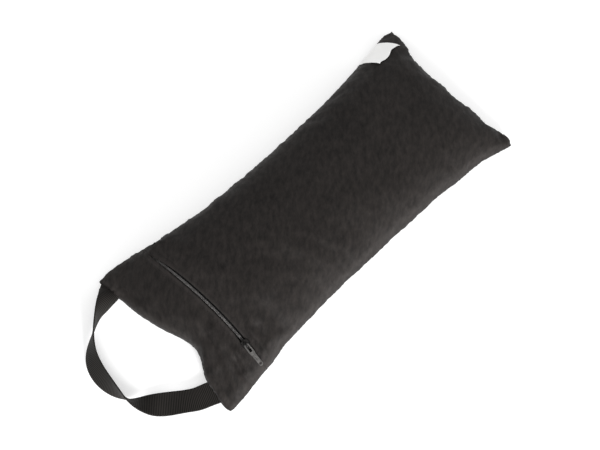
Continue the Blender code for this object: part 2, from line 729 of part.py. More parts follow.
def build_slider(pivot):
    """The slider: two plates, a post between the tapes, ribs and a bail."""
    frame = zip_frame(SLIDER_S)
    slider = add_object(slider_plate(PLATE_PLAY, PLATE_TOP), "zip_slider", GUNMETAL, frame)
    shapes = [slider_plate(LOWER_PLATE_TOP - PLATE_THICKNESS, LOWER_PLATE_TOP)]
    front = -SLIDER_LENGTH / 2 + CLEARANCE
    shapes.append(block((-POST_WIDTH / 2, front, LOWER_PLATE_TOP - CAST_SINK),
                        (POST_WIDTH / 2, front + POST_LENGTH, PLATE_PLAY + CAST_SINK)))
    inner = RIB_OUT - RIB_THICKNESS
    for side in (-1, 1):
        low, high = sorted((side * inner, side * RIB_OUT))
        shapes.append(block((low, -SLIDER_SHOULDER, TAPE_TOP + CLEARANCE),
                            (high, SLIDER_SHOULDER, PLATE_PLAY + CAST_SINK)))
        shapes.append(block((low, -SLIDER_SHOULDER, LOWER_PLATE_TOP - CAST_SINK),
                            (high, SLIDER_SHOULDER, TAPE_TOP - TAPE_THICKNESS - CLEARANCE)))
    arch = slab([-BAIL_LENGTH / 2, -BAIL_LENGTH / 2 + BAIL_BAR, BAIL_LENGTH / 2 - BAIL_BAR, BAIL_LENGTH / 2],
                [PLATE_TOP - CAST_SINK, BAIL_INSIDE, BAIL_INSIDE + BAIL_BAR],
                lambda along, up, level: Vector(((level - 0.5) * BAIL_WIDTH, along, up)),
                lambda i, j: j == 1 or i != 1)
    shapes.append(arch)
    for index, shape in enumerate(shapes):
        add_boolean(slider, add_helper(shape, f"slider_shape_{index}", frame), "UNION")
    hang_on(slider, pivot)
    return slider


def build_pull(slider):
    """The pull: a fork round the bail, with a bar through it, and a tapering tail."""
    frame = zip_frame(SLIDER_S) @ Matrix.Translation((0, 0, PULL_AXIS_UP))
    half_bar = PULL_THICKNESS / 2
    neck = BAIL_WIDTH / 2 + CLEARANCE + PULL_PLAY
    fork = neck + PRONG_WIDTH
    lengths = [half_bar, -half_bar, -PULL_WINDOW, -PULL_WINDOW - 2 * PRONG_WIDTH,
               -PULL_LENGTH + PULL_TIP, -PULL_LENGTH + half_bar]
    tail = PULL_TAIL_WIDTH / 2
    widths = dict(zip(lengths, (fork, fork, fork + PULL_FLARE, fork + PULL_FLARE / 2,
                                tail + PULL_TAPER, tail)))

    def place(along, across, level):
        half = neck if abs(across) < 1 else widths[along]
        return Vector((math.copysign(half, across), along, (0.5 - level) * PULL_THICKNESS))

    shape = slab(lengths, [-1, -0.5, 0.5, 1], place, lambda i, j: not (i == 1 and j == 1))
    pull = add_object(shape, "zip_pull", GUNMETAL, frame)
    hole = bmesh.new()
    bmesh.ops.create_cone(hole, cap_ends=True, segments=14, radius1=PULL_HOLE / 2,
                          radius2=PULL_HOLE / 2, depth=4 * PULL_THICKNESS)
    spot = Matrix.Translation((0, -PULL_LENGTH + 2 * PULL_HOLE, 0))
    add_boolean(pull, add_helper(hole, "pull_hole", frame @ spot), "DIFFERENCE")
    hang_on(pull, slider)
    return pull


def root_seam_x(y):
    """Where the handle end's seam lies, at a handle root."""
    return plan(-1, y / half_width(-1))[0]


ROOT_LEFT = Vector((root_seam_x(ROOT_Y_LEFT) - ROOT_REACH, ROOT_Y_LEFT, CORNER_SEAM_Z))
ROOT_RIGHT = Vector((root_seam_x(ROOT_Y_RIGHT) - ROOT_REACH, ROOT_Y_RIGHT, CORNER_SEAM_Z))
FOLD_LINE = (ROOT_LEFT - ROOT_RIGHT).normalized()
INWARD = FOLD_LINE.cross(Vector((0, 0, 1)))


def build_root(name, root):
    """A webbing end held in the end seam, out to the line where the handle folds."""
    frame = Matrix.Translation(root)
    for axis, column in ((INWARD, 0), (FOLD_LINE, 1)):
        for line in range(3):
            frame[line][column] = axis[line]
    nose = WEBBING_THICKNESS + FOLD_CLEARANCE
    half = WEBBING_THICKNESS / 2
    turns = [math.radians(90 + 30 * step) for step in range(7)]
    outline = [(nose + half * math.cos(turn), half * math.sin(turn)) for turn in turns]
    tail = ROOT_REACH + ROOT_TUCK
    outline += [(tail, -half), (tail, half)]
    add_object(outline_solid(outline, WEBBING_WIDTH), name, WEBBING, frame)


def outline_solid(outline, width):
    """A prism along Y, whose outline is given by x and z."""
    shape = bmesh.new()
    verts = [shape.verts.new((x, -width / 2, z)) for x, z in outline]
    face = shape.faces.new(verts)
    grown = bmesh.ops.extrude_face_region(shape, geom=[face])
    moved = [item for item in grown["geom"] if isinstance(item, bmesh.types.BMVert)]
    bmesh.ops.translate(shape, vec=(0, width, 0), verts=moved)
    return shape


def spline_values(knots, count):
    """Values along a natural cubic spline through rows of numbers."""
    knots = np.array(knots, dtype=float)
    spans = np.linalg.norm(np.diff(knots[:, :3], axis=0), axis=1)
    places = np.concatenate([[0], np.cumsum(spans)])
    size = len(knots)
    system = np.eye(size)
    right = np.zeros(knots.shape)
    for index in range(1, size - 1):
        before, after = spans[index - 1], spans[index]
        system[index, index - 1:index + 2] = before, 2 * (before + after), after
        rise = (knots[index + 1] - knots[index]) / after - (knots[index] - knots[index - 1]) / before
        right[index] = 6 * rise
    bend = np.linalg.solve(system, right)
    rows = []
    for place in np.linspace(0, places[-1], count + 1):
        index = min(size - 2, int(np.searchsorted(places, place, side="right")) - 1)
        span = spans[index]
        low, high = places[index + 1] - place, place - places[index]
        value = (bend[index] * low ** 3 + bend[index + 1] * high ** 3) / (6 * span)
        value += (knots[index] / span - bend[index] * span / 6) * low
        value += (knots[index + 1] / span - bend[index + 1] * span / 6) * high
        rows.append(value)
    return rows


def handle_route():
    """The handle's middle line and roll, from the left root to the right one."""
    roots = []
    for root in (ROOT_LEFT, ROOT_RIGHT):
        for out in (root, root - INWARD * FOLD_LEAD):
            roots.append((out.x, out.y, out.z - WEBBING_THICKNESS / 2, 0))
    knots = [roots[0], roots[1]]
    for out, share, lower_edge, roll in HANDLE_ROUTE:
        knots.append((-HALF_LENGTH - out, mix(ROOT_Y_RIGHT, ROOT_Y_LEFT, share), lower_edge, roll))
    knots += [roots[3], roots[2]]
    rows = []
    for x, y, lower_edge, roll in spline_values(knots, HANDLE_STEPS):
        roll = math.radians(roll)
        rise = WEBBING_WIDTH * abs(math.sin(roll)) + WEBBING_THICKNESS * abs(math.cos(roll))
        rows.append((Vector((x, y, max(0.0, lower_edge) + rise / 2)), roll))
    return rows


def build_handle(pivot):
    """The handle: one length of webbing that twists twice as it lies."""
    rows = handle_route()
    places = [place for place, roll in rows]
    shape = bmesh.new()
    rings = []
    half_wide, half_thick = WEBBING_WIDTH / 2, WEBBING_THICKNESS / 2
    last = len(rows) - 1
    for index, (place, roll) in enumerate(rows):
        along = (places[min(last, index + 1)] - places[max(0, index - 1)]).normalized()
        if index in (0, last):
            along = -INWARD if index == 0 else INWARD
        level = along.cross(Vector((0, 0, 1))).normalized()
        wide = level * math.cos(roll) + level.cross(along) * math.sin(roll)
        thick = wide.cross(along)
        corners = [place + wide * x * half_wide + thick * z * half_thick
                   for x, z in ((1, 1), (-1, 1), (-1, -1), (1, -1))]
        rings.append([shape.verts.new(corner) for corner in corners])
    for first, second in zip(rings, rings[1:]):
        for side in range(4):
            shape.faces.new([first[side], first[(side + 1) % 4],
                             second[(side + 1) % 4], second[side]])
    for ring, outward in ((rings[0], INWARD), (rings[-1], INWARD)):
        round_end(shape, ring, outward)
    middle = Matrix.Translation(pivot.location)
    bmesh.ops.transform(shape, matrix=middle.inverted(), verts=shape.verts)
    handle = add_object(shape, "handle_strap", WEBBING, middle)
    hang_on(handle, pivot)
    return handle


def round_end(shape, ring, outward):
    """Closes an end of the webbing with a half round about its fold line."""
    centre_far = (ring[0].co + ring[3].co) / 2
    centre_near = (ring[1].co + ring[2].co) / 2
    up = (ring[0].co - ring[3].co) / 2
    lines = [(ring[0], ring[1])]
    for step in range(1, 6):
        turn = math.radians(30 * step)
        offset = up * math.cos(turn) + outward * up.length * math.sin(turn)
        lines.append((shape.verts.new(centre_far + offset), shape.verts.new(centre_near + offset)))
    lines.append((ring[3], ring[2]))
    for first, second in zip(lines, lines[1:]):
        shape.faces.new([first[0], first[1], second[1], second[0]])
    for side in (0, 1):
        shape.faces.new([line[side] for line in lines])


def build_label():
    """The label, from the side seam up over the top panel."""
    def place(row, column, level):
        x = HALF_LENGTH - LABEL_INSET - row * LABEL_WIDTH + (column - 1) * LABEL_SKEW
        u = x / HALF_LENGTH
        v = 1 - column * LABEL_REACH / half_width(u)
        return cover_top(u, v, -(LABEL_LIFT + (1 - level) * LABEL_THICKNESS))
    rows = [step / LABEL_ROWS for step in range(LABEL_ROWS + 1)]
    columns = [(step / LABEL_COLUMNS) ** LABEL_GATHER for step in range(LABEL_COLUMNS + 1)]
    add_object(slab(rows, columns, place), "care_label", SATIN)


def build():
    """Builds every piece."""
    build_top_panels()
    build_back_panel()
    build_liner()
    build_closure_strips()
    build_sand()
    build_tapes()
    build_teeth()
    build_stops()
    arc_pivot = add_pivot("zip_arc_pivot", (ZIP_X, 0, SEAT_AXIS_Z))
    slider = build_slider(arc_pivot)
    build_pull(slider)
    for name, root in (("handle_root_left", ROOT_LEFT), ("handle_root_right", ROOT_RIGHT)):
        build_root(name, root)
    build_handle(add_pivot("handle_pivot", (ROOT_LEFT + ROOT_RIGHT) / 2))
    build_label()


for old in list(bpy.data.objects):
    bpy.data.objects.remove(old, do_unlink=True)
build()
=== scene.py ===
import math

import bmesh
import bpy
import numpy as np
from mathutils import Matrix, Vector, noise
from mathutils.bvhtree import BVHTree


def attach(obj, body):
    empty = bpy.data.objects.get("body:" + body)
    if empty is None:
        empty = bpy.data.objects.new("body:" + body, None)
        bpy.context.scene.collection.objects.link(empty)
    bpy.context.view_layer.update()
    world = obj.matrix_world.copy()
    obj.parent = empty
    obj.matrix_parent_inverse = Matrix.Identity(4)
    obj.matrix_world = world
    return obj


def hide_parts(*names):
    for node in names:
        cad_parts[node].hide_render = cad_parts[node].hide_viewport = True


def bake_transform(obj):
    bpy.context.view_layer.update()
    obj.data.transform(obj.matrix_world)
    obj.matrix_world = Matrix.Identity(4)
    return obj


# A weighted exercise bag: twill cover, coil zip, webbing handle and blank label.
# All lengths are in metres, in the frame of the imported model.

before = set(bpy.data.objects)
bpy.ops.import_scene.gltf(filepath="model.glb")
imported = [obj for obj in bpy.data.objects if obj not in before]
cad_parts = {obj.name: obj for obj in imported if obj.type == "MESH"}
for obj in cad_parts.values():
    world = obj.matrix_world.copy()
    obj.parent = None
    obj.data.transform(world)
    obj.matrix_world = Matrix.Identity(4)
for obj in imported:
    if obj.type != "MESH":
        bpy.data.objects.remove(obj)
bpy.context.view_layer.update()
print("frame loaded with", len(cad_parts), "nodes")

mm = 0.001


# Small helpers

def mix(first, second, share):
    return first + (second - first) * share


def clamp(value, low=0.0, high=1.0):
    return max(low, min(high, value))


def smoothStep(value):
    value = clamp(value)
    return value * value * (3 - 2 * value)


def bellCurve(distance, width):
    return math.exp(-(distance / width) ** 2)


def squareness(angle, power):
    # how far out a rounded square's edge lies at an angle
    return (abs(math.cos(angle)) ** power + abs(math.sin(angle)) ** power) ** (-1 / power)


def newObject(name, shape):
    # turns a bmesh into an object and frees it
    mesh = bpy.data.meshes.new(name)
    shape.to_mesh(mesh)
    shape.free()
    piece = bpy.data.objects.new(name, mesh)
    bpy.context.scene.collection.objects.link(piece)
    for polygon in mesh.polygons:
        polygon.use_smooth = True
    return piece


def finishPiece(piece, material, body=None):
    # one material, and the body it rides on
    piece.data.materials.clear()
    piece.data.materials.append(material)
    if body:
        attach(piece, body)
    return piece


def applyModifiers(piece):
    # bakes what is on a piece's modifier list into its mesh
    graph = bpy.context.evaluated_depsgraph_get()
    mesh = bpy.data.meshes.new_from_object(piece.evaluated_get(graph), depsgraph=graph)
    piece.modifiers.clear()
    old = piece.data
    piece.data = mesh
    bpy.data.meshes.remove(old)
    mesh.name = piece.name
    return piece


def addGrid(shape, columns, rows, place, flat=None):
    # a grid whose vertices go to place(rowShare, columnShare), both from 0 to 1, with flat as its cloth map
    cloth = shape.loops.layers.uv.new("cloth") if flat else None
    made = bmesh.ops.create_grid(shape, x_segments=columns, y_segments=rows, size=1)["verts"]
    spots = {}
    for vert in made:
        shares = (vert.co.y + 1) / 2, (vert.co.x + 1) / 2
        vert.co = place(*shares)
        spots[vert] = flat(*shares) if flat else None
    if flat:
        for face in shape.faces:
            for loop in face.loops:
                loop[cloth].uv = spots[loop.vert]
    return made


def addTube(shape, rings, around, place, closeEnds=True):
    # a tube along a path: place(ringShare, angleShare) gives each point
    made = addGrid(shape, around, rings, place)
    bmesh.ops.remove_doubles(shape, verts=made, dist=1e-7)
    made = [vert for vert in made if vert.is_valid]
    if closeEnds:
        edges = {edge for vert in made for edge in vert.link_edges if edge.is_boundary}
        bmesh.ops.holes_fill(shape, edges=list(edges))
    return made


def turnUp(shape, faces, side=1):
    # turns the whole shape over where the given faces look down, or up with side -1
    shape.normal_update()
    if sum(face.normal.z for face in faces) * side < 0:
        bmesh.ops.reverse_faces(shape, faces=shape.faces)


def raiseFaces(shape, height):
    # pulls a flat outline up into a closed block
    grown = bmesh.ops.extrude_face_region(shape, geom=list(shape.faces))["geom"]
    top = [item for item in grown if isinstance(item, bmesh.types.BMVert)]
    bmesh.ops.translate(shape, vec=(0, 0, height), verts=top)
    bmesh.ops.recalc_face_normals(shape, faces=shape.faces)


def sharpEdges(shape, angle):
    return [edge for edge in shape.edges if len(edge.link_faces) == 2 and edge.calc_face_angle(0) > angle]


def bevelEdges(shape, edges, offset, segments=2):
    bmesh.ops.bevel(shape, geom=edges, offset=offset, segments=segments, profile=0.5, affect="EDGES",
                    clamp_overlap=True, material=-1)


def combine(piece, shapes, operation, edge=0.0):
    # joins shapes to the piece or cuts them out of it, and then rounds its sharp edges
    tools = [newObject(f"{piece.name}_tool_{index}", shape) for index, shape in enumerate(shapes)]
    for tool in tools:
        step = piece.modifiers.new(tool.name, "BOOLEAN")
        step.object = tool
        step.operation = operation
    if edge:
        rounding = piece.modifiers.new("edges", "BEVEL")
        rounding.width = edge
        rounding.segments = 3
        rounding.limit_method = "ANGLE"
        rounding.angle_limit = math.radians(50)
    applyModifiers(piece)
    for tool in tools:
        bpy.data.objects.remove(tool)


def addSolidify(piece, thickness, offset=-1.0):
    modifier = piece.modifiers.new("cloth thickness", "SOLIDIFY")
    modifier.thickness = thickness
    modifier.offset = offset
    modifier.use_even_offset = False


# Shape of the bag, the same values that the CAD source has

bagShape = {
    "length": 430 * mm, "waistWidth": 162.5 * mm, "cornerWidth": 201 * mm,
    "nearFlare": 1.9, "farFlare": 3.0, "bow": -4 * mm, "bowPower": 3,
    "nearSkew": 2 * mm, "nearEar": 3.5 * mm, "earPower": 6,
    "nearDraw": 15.5 * mm, "nearDrawY": -22 * mm, "drawLeft": 66 * mm, "drawRight": 40 * mm,
    "farSkew": 2 * mm, "farDraw": 9 * mm,
    "height": 56 * mm, "sideSeamZ": 14 * mm, "endSeamZ": 11 * mm, "cornerSeamZ": 6 * mm,
    "nearFall": 2.0, "farFall": 3.4, "sideFall": 2.5, "topRound": 0.47, "seamRound": 1.5,
    "floorFlatLong": 0.8, "floorFlatWide": 0.66, "floorFall": 2.0,
    "cover": 1.2 * mm, "seamHalf": 0.15 * mm,
    "linerSlack": 0.6 * mm, "edgeSlack": 3 * mm, "cornerSlack": 8 * mm, "slackGrowth": 0.4,
    "swellMargin": 0.3, "seatEnd": 0.12, "riseWidth": 0.597,
    "insetPower": 12, "shiftPower": 6, "slackPower": 8, "drawPower": 4,
}
zipShape = {
    "x": 51 * mm - 430 * mm / 2, "skew": math.radians(2.3), "margin": 16.5 * mm,
    "chainRight": 7 * mm, "chainLeft": 10 * mm,
    "tapeWidth": 10.5 * mm, "tapeThickness": 0.7 * mm, "tapeTop": -1.5 * mm, "tapeEdge": 2.5 * mm,
    "mouthHalf": 3.5 * mm, "closing": 10 * mm, "closingIn": 4 * mm, "narrowing": 42 * mm, "narrowPower": 0.62,
    "seatMargin": 3 * mm, "seatFade": 25 * mm, "sliderIn": 2.9 * mm, "bow": 2.8 * mm, "mouthPast": 2 * mm,
    "farMouth": 1.12, "nearMouth": 0.7, "widerFrom": 8 * mm, "widerOver": 12 * mm,
}
# swells and dents that the sand makes in the top: x, y, reach and height, in mm
sandSwells = [
    (48, -60, 26, 2.4), (0, -54, 22, -1.8), (-52, -46, 24, 1.8), (-80, -49, 19, -3.0), (-117, -40, 25, 1.6),
    (109, -38, 26, -2.2), (66, -26, 24, -1.4), (172, -66, 24, 2.4), (104, -72, 24, 1.4), (-96, 8, 28, -1.2),
    (-40, 60, 28, 1.2), (20, 36, 34, -1.2), (92, 62, 30, 1.2), (150, 20, 32, -1.4),
]
halfLength = bagShape["length"] / 2


def halfWidth(u):
    flare = bagShape["nearFlare"] if u < 0 else bagShape["farFlare"]
    return mix(bagShape["waistWidth"], bagShape["cornerWidth"], abs(u) ** flare) / 2


def bowOf(u):
    return bagShape["bow"] * (1 - u) * max(0.0, 1 - u * u) ** bagShape["bowPower"]


def endShift(u, v):
    if u > 0:
        return bagShape["farSkew"] * v - bagShape["farDraw"] * (1 - v ** bagShape["drawPower"])
    offset = v * bagShape["cornerWidth"] / 2 - bagShape["nearDrawY"]
    share = min(1.0, abs(offset) / bagShape["drawLeft" if offset > 0 else "drawRight"])
    shift = bagShape["nearDraw"] * (1 - share * share) ** 2
    return shift - bagShape["nearSkew"] * v - bagShape["nearEar"] * v ** bagShape["earPower"]


def planPoint(u, v, depth=0.0):
    inset = depth
    if depth > bagShape["cover"]:
        layer = (depth - bagShape["cover"]) / bagShape["linerSlack"]
        slack = bagShape["edgeSlack"] + bagShape["cornerSlack"] * abs(u * v) ** bagShape["slackPower"]
        inset += mix(1, layer, bagShape["slackGrowth"]) * slack
    x = u * halfLength - math.copysign(inset * abs(u) ** bagShape["insetPower"], u)
    x += endShift(u, v) * abs(u) ** bagShape["shiftPower"]
    return x, bowOf(u) + v * (halfWidth(u) - inset)


def locate(x, y):
    # the u and v of a plan point
    u, v = clamp(x / halfLength, -1, 1), 0.0
    for _ in range(30):
        v = clamp((y - bowOf(u)) / halfWidth(u), -1, 1)
        u = clamp((x - abs(u) ** bagShape["shiftPower"] * endShift(u, v)) / halfLength, -1, 1)
    return u, v


def seamHeight(u, v):
    side = (bagShape["sideSeamZ"] - bagShape["cornerSeamZ"]) * max(0.0, 1 - u * u) ** bagShape["seamRound"]
    rise = 1 - smoothStep(2 * abs(v) / bagShape["riseWidth"] - 1)
    return bagShape["cornerSeamZ"] + side + (bagShape["endSeamZ"] - bagShape["cornerSeamZ"]) * rise


def topSwell(u, v):
    fall = bagShape["nearFall"] if u < 0 else bagShape["farFall"]
    return max(0.0, (1 - abs(u) ** fall) * (1 - abs(v) ** bagShape["sideFall"])) ** bagShape["topRound"]


def freeTop(u, v, depth=0.0):
    return mix(seamHeight(u, v), bagShape["height"] - depth, topSwell(u, v))


def beyond(value, flat):
    return max(0.0, (abs(value) - flat) / (1 - flat))


def freeBottom(u, v, depth=0.0):
    swell = (1 - beyond(u, bagShape["floorFlatLong"]) ** bagShape["floorFall"])
    swell *= (1 - beyond(v, bagShape["floorFlatWide"]) ** bagShape["floorFall"])
    return mix(seamHeight(u, v), depth, max(0.0, swell) ** bagShape["topRound"])


def sandSwell(u, v):
    x, y = u * halfLength / mm, (bowOf(u) + v * halfWidth(u)) / mm
    lift = sum(height * bellCurve(math.hypot(x - sx, y - sy), reach) for sx, sy, reach, height in sandSwells)
    return lift * mm * smoothStep((1 - max(abs(u), abs(v))) / bagShape["swellMargin"])


def zipToPlan(across, along):
    skew = zipShape["skew"]
    x = zipShape["x"] + across * math.cos(skew) - along * math.sin(skew)
    return x, across * math.sin(skew) + along * math.cos(skew)


def planToZip(x, y):
    skew = zipShape["skew"]
    across = (x - zipShape["x"]) * math.cos(skew) + y * math.sin(skew)
    return across, y * math.cos(skew) - (x - zipShape["x"]) * math.sin(skew)


tapeHalf = halfWidth(zipShape["x"] / halfLength) - zipShape["margin"]
chainStart = zipShape["chainRight"] - tapeHalf
chainEnd = tapeHalf - zipShape["chainLeft"]
sliderPlace = chainStart + zipShape["sliderIn"]


def zipSeat():
    rim = bagShape["seamHalf"] + bagShape["cover"]

    def height(across, along):
        u, v = locate(*zipToPlan(across, along))
        return freeTop(u, v) + rim * (1 - topSwell(u, v))

    crest = height(0, 0)
    drop = crest - (height(0, chainEnd) + height(0, -chainEnd)) / 2
    rise = height(zipShape["tapeWidth"], 0) - height(-zipShape["tapeWidth"], 0)
    return (chainEnd ** 2 + drop ** 2) / (2 * drop), crest, math.atan(rise / (2 * zipShape["tapeWidth"]))


seatRadius, seatCrest, seatTilt = zipSeat()
seatAxisZ = seatCrest - seatRadius
seatHalf = zipShape["tapeEdge"] + zipShape["tapeWidth"] + zipShape["seatMargin"]


def zipPoint(across, along, up):
    reach = seatRadius + across * math.sin(seatTilt) + up * math.cos(seatTilt)
    angle = along / seatRadius
    square = across * math.cos(seatTilt) - up * math.sin(seatTilt)
    x, y = zipToPlan(square, reach * math.sin(angle))
    return Vector((x, y, seatAxisZ + reach * math.cos(angle)))


def zipFrame(along):
    turn = Matrix.Rotation(zipShape["skew"], 4, "Z") @ Matrix.Rotation(-along / seatRadius, 4, "X")
    return Matrix.Translation(zipPoint(0, along, 0)) @ turn @ Matrix.Rotation(-seatTilt, 4, "Y")


def topHeight(u, v, depth=0.0):
    x, y = planPoint(u, v, depth)
    free = freeTop(u, v, depth) + sandSwell(u, v)
    across, along = planToZip(x, y)
    reach = seatRadius + across * math.tan(seatTilt) - depth / math.cos(seatTilt)
    seat = seatAxisZ + math.sqrt(reach * reach - along * along)
    even = tapeHalf + zipShape["seatMargin"]
    weight = 1 - smoothStep((abs(across) - seatHalf) / zipShape["seatFade"])
    weight *= 1 - smoothStep((abs(v) * halfWidth(u) - even) / (halfWidth(u) - even))
    weight *= smoothStep((1 - abs(u)) / bagShape["seatEnd"])
    return mix(free, seat, weight)


def zipBow(along):
    # the zip curves a little towards the far end between the slider and the left stop
    share = np.clip((along - sliderPlace) / (chainEnd - sliderPlace), 0, 1)
    return zipShape["bow"] * 4 * share * (1 - share)


def mouthGap(along):
    # half the mouth's width, which narrows to a point at the left end
    if along > 0:
        share = clamp((tapeHalf + zipShape["mouthPast"] - along) / zipShape["narrowing"])
        share = share ** zipShape["narrowPower"]
    else:
        share = 1 - smoothStep((-along - tapeHalf + zipShape["closingIn"]) / zipShape["closing"])
    return max(bagShape["seamHalf"], zipShape["mouthHalf"] * share)


def mouthU(v, side):
    # where a top panel's folded edge lies, on one side of the zip
    low, high = -1.0, 0.0
    for _ in range(40):
        middle = (low + high) / 2
        across, along = planToZip(*planPoint(middle, v))
        past = smoothStep((along - sliderPlace - zipShape["widerFrom"]) / zipShape["widerOver"])
        wider = mix(1, zipShape["farMouth" if side > 0 else "nearMouth"], past)
        if across < (side * mouthGap(along) * wider + zipBow(along)) * math.cos(seatTilt):
            low = middle
        else:
            high = middle
    return middle


# Shader helpers and the node groups that several materials share

def addNode(tree, kind, settings=None, **inputs):
    node = tree.nodes.new(kind)
    for key, value in (settings or {}).items():
        setattr(node, key, value)
    for key, value in inputs.items():
        socket = node.inputs[int(key[1:])] if key[1:].isdigit() else node.inputs[key.replace("_", " ")]
        if isinstance(value, bpy.types.NodeSocket):
            tree.links.new(value, socket)
        else:
            socket.default_value = value
    return node


def mathNode(tree, operation, first, second=0.0, useClamp=False):
    settings = {"operation": operation, "use_clamp": useClamp}
    return addNode(tree, "ShaderNodeMath", settings, i0=first, i1=second).outputs[0]


def times(tree, first, second):
    return mathNode(tree, "MULTIPLY", first, second)


def plus(tree, first, second, useClamp=False):
    return mathNode(tree, "ADD", first, second, useClamp)


def addedUp(tree, base, *parts):
    # base and each value times its share, kept between 0 and 1
    for number, (value, share) in enumerate(parts):
        base = plus(tree, base, times(tree, value, share), number == len(parts) - 1)
    return base


def stretched(tree, place, scale):
    return addNode(tree, "ShaderNodeVectorMath", {"operation": "MULTIPLY"}, i0=place, i1=scale).outputs[0]


def mixColour(tree, factor, first, second):
    return addNode(tree, "ShaderNodeMix", {"data_type": "RGBA"}, i0=factor, i6=first, i7=second).outputs[2]


def rampNode(tree, value, low, high, fromZero=0.0, toOne=1.0):
    inputs = {"i0": value, "i1": low, "i2": high, "i3": fromZero, "i4": toOne}
    return addNode(tree, "ShaderNodeMapRange", {"clamp": True}, **inputs).outputs[0]


def noiseNode(tree, place, scale, detail=3.0, roughness=0.55):
    inputs = {"Vector": place, "Scale": scale, "Detail": detail, "Roughness": roughness}
    return addNode(tree, "ShaderNodeTexNoise", None, **inputs).outputs[0]


def newGroup(name, inputs, outputs):
    group = bpy.data.node_groups.new(name, "ShaderNodeTree")
    kinds = {"vector": "NodeSocketVector", "number": "NodeSocketFloat", "colour": "NodeSocketColor"}
    for label, kind in inputs:
        group.interface.new_socket(label, in_out="INPUT", socket_type=kinds[kind])
    for label, kind in outputs:
        group.interface.new_socket(label, in_out="OUTPUT", socket_type=kinds[kind])
    start = group.nodes.new("NodeGroupInput")
    end = group.nodes.new("NodeGroupOutput")
    return group, start, end


def endGroup(group, end, **results):
    for label, value in results.items():
        group.links.new(value, end.inputs[label])
    return group


def useGroup(tree, group, **inputs):
    return addNode(tree, "ShaderNodeGroup", {"node_tree": group}, **inputs)


weaveLook = {
    "tilt": -math.pi / 4, "wobbleScale": 160, "wobble": 1.4, "yarnPitch": 0.7, "waleShare": 0.42,
    "yarnShare": 0.08, "slubStretch": (95, 185, 1), "fluffScale": 620, "slubHeight": 0.8, "fluffHeight": 0.35,
}


def makeTwillGroup():
    # diagonal wales, crossing yarns, long slubs and stray lint
    look = weaveLook
    group, start, end = newGroup(
        "twill weave",
        [("Place", "vector"), ("Pitch", "number"), ("Slub", "number")],
        [("Yarn", "number"), ("Streak", "number"), ("Lint", "number"), ("Height", "number")])
    place, pitch = start.outputs["Place"], start.outputs["Pitch"]
    turned = addNode(group, "ShaderNodeMapping", None, Vector=place, Rotation=(0, 0, look["tilt"])).outputs[0]
    parts = addNode(group, "ShaderNodeSeparateXYZ", None, i0=turned)
    wobble = noiseNode(group, place, look["wobbleScale"], 2)
    shift = times(group, mathNode(group, "SUBTRACT", wobble, 0.5), look["wobble"])
    wale = plus(group, mathNode(group, "DIVIDE", parts.outputs[1], pitch), shift)
    wale = mathNode(group, "SINE", times(group, wale, 2 * math.pi))
    yarn = mathNode(group, "DIVIDE", parts.outputs[0], times(group, pitch, look["yarnPitch"]))
    yarn = mathNode(group, "SINE", times(group, yarn, 2 * math.pi))
    cell = plus(group, times(group, wale, look["waleShare"]), times(group, yarn, look["yarnShare"]))
    cell = plus(group, cell, 0.5)
    longer = stretched(group, turned, look["slubStretch"])
    streak = rampNode(group, noiseNode(group, longer, 1.0, 5, 0.66), 0.3, 0.7)
    streak = times(group, mathNode(group, "SUBTRACT", streak, 0.5), start.outputs["Slub"])
    fluff = noiseNode(group, place, look["fluffScale"], 2, 0.6)
    fleck = rampNode(group, noiseNode(group, longer, 2.3, 2, 0.5), 0.72, 0.78)
    lint = times(group, fleck, rampNode(group, fluff, 0.5, 0.7))
    height = plus(group, cell, times(group, streak, look["slubHeight"]))
    height = plus(group, height, times(group, fluff, look["fluffHeight"]))
    return endGroup(group, end, Yarn=cell, Streak=streak, Lint=lint, Height=height)


def makePatchGroup():
    # broad uneven shade, as cloth and metal pick up with handling
    group, start, end = newGroup(
        "handling marks",
        [("Place", "vector"), ("Size", "number"), ("Edge", "number")],
        [("Shade", "number"), ("Worn", "number"), ("Dust", "number")])
    scale = mathNode(group, "DIVIDE", 1.0, start.outputs["Size"])
    broad = noiseNode(group, start.outputs["Place"], scale, 3, 0.5)
    fine = noiseNode(group, start.outputs["Place"], times(group, scale, 9), 4, 0.6)
    shade = rampNode(group, broad, 0.3, 0.7)
    dust = times(group, rampNode(group, broad, 0.45, 0.75), rampNode(group, fine, 0.45, 0.7))
    worn = times(group, start.outputs["Edge"], rampNode(group, fine, 0.3, 0.65, 0.35))
    return endGroup(group, end, Shade=shade, Worn=worn, Dust=dust)


twillGroup = makeTwillGroup()
patchGroup = makePatchGroup()


def newMaterial(name, **constants):
    material = bpy.data.materials.new(name)
    material.use_nodes = True
    tree = material.node_tree
    shader = tree.nodes["Principled BSDF"]
    for key, value in constants.items():
        shader.inputs[key.replace("_", " ")].default_value = value
    return material, tree, shader


def setSurface(tree, shader, colour, roughness):
    tree.links.new(colour, shader.inputs["Base Color"])
    tree.links.new(roughness, shader.inputs["Roughness"])


def setBump(tree, shader, height, distance, strength):
    bump = addNode(tree, "ShaderNodeBump", None, Height=height, Distance=distance, Strength=strength)
    tree.links.new(bump.outputs[0], shader.inputs["Normal"])


def clothPlace(tree):
    return addNode(tree, "ShaderNodeUVMap", {"uv_map": "cloth"}).outputs[0]


def objectPlace(tree):
    return tree.nodes.new("ShaderNodeTexCoord").outputs["Object"]


def grey(level, warm=0.0):
    return (level * (1 + warm), level, level * (1 - warm), 1)


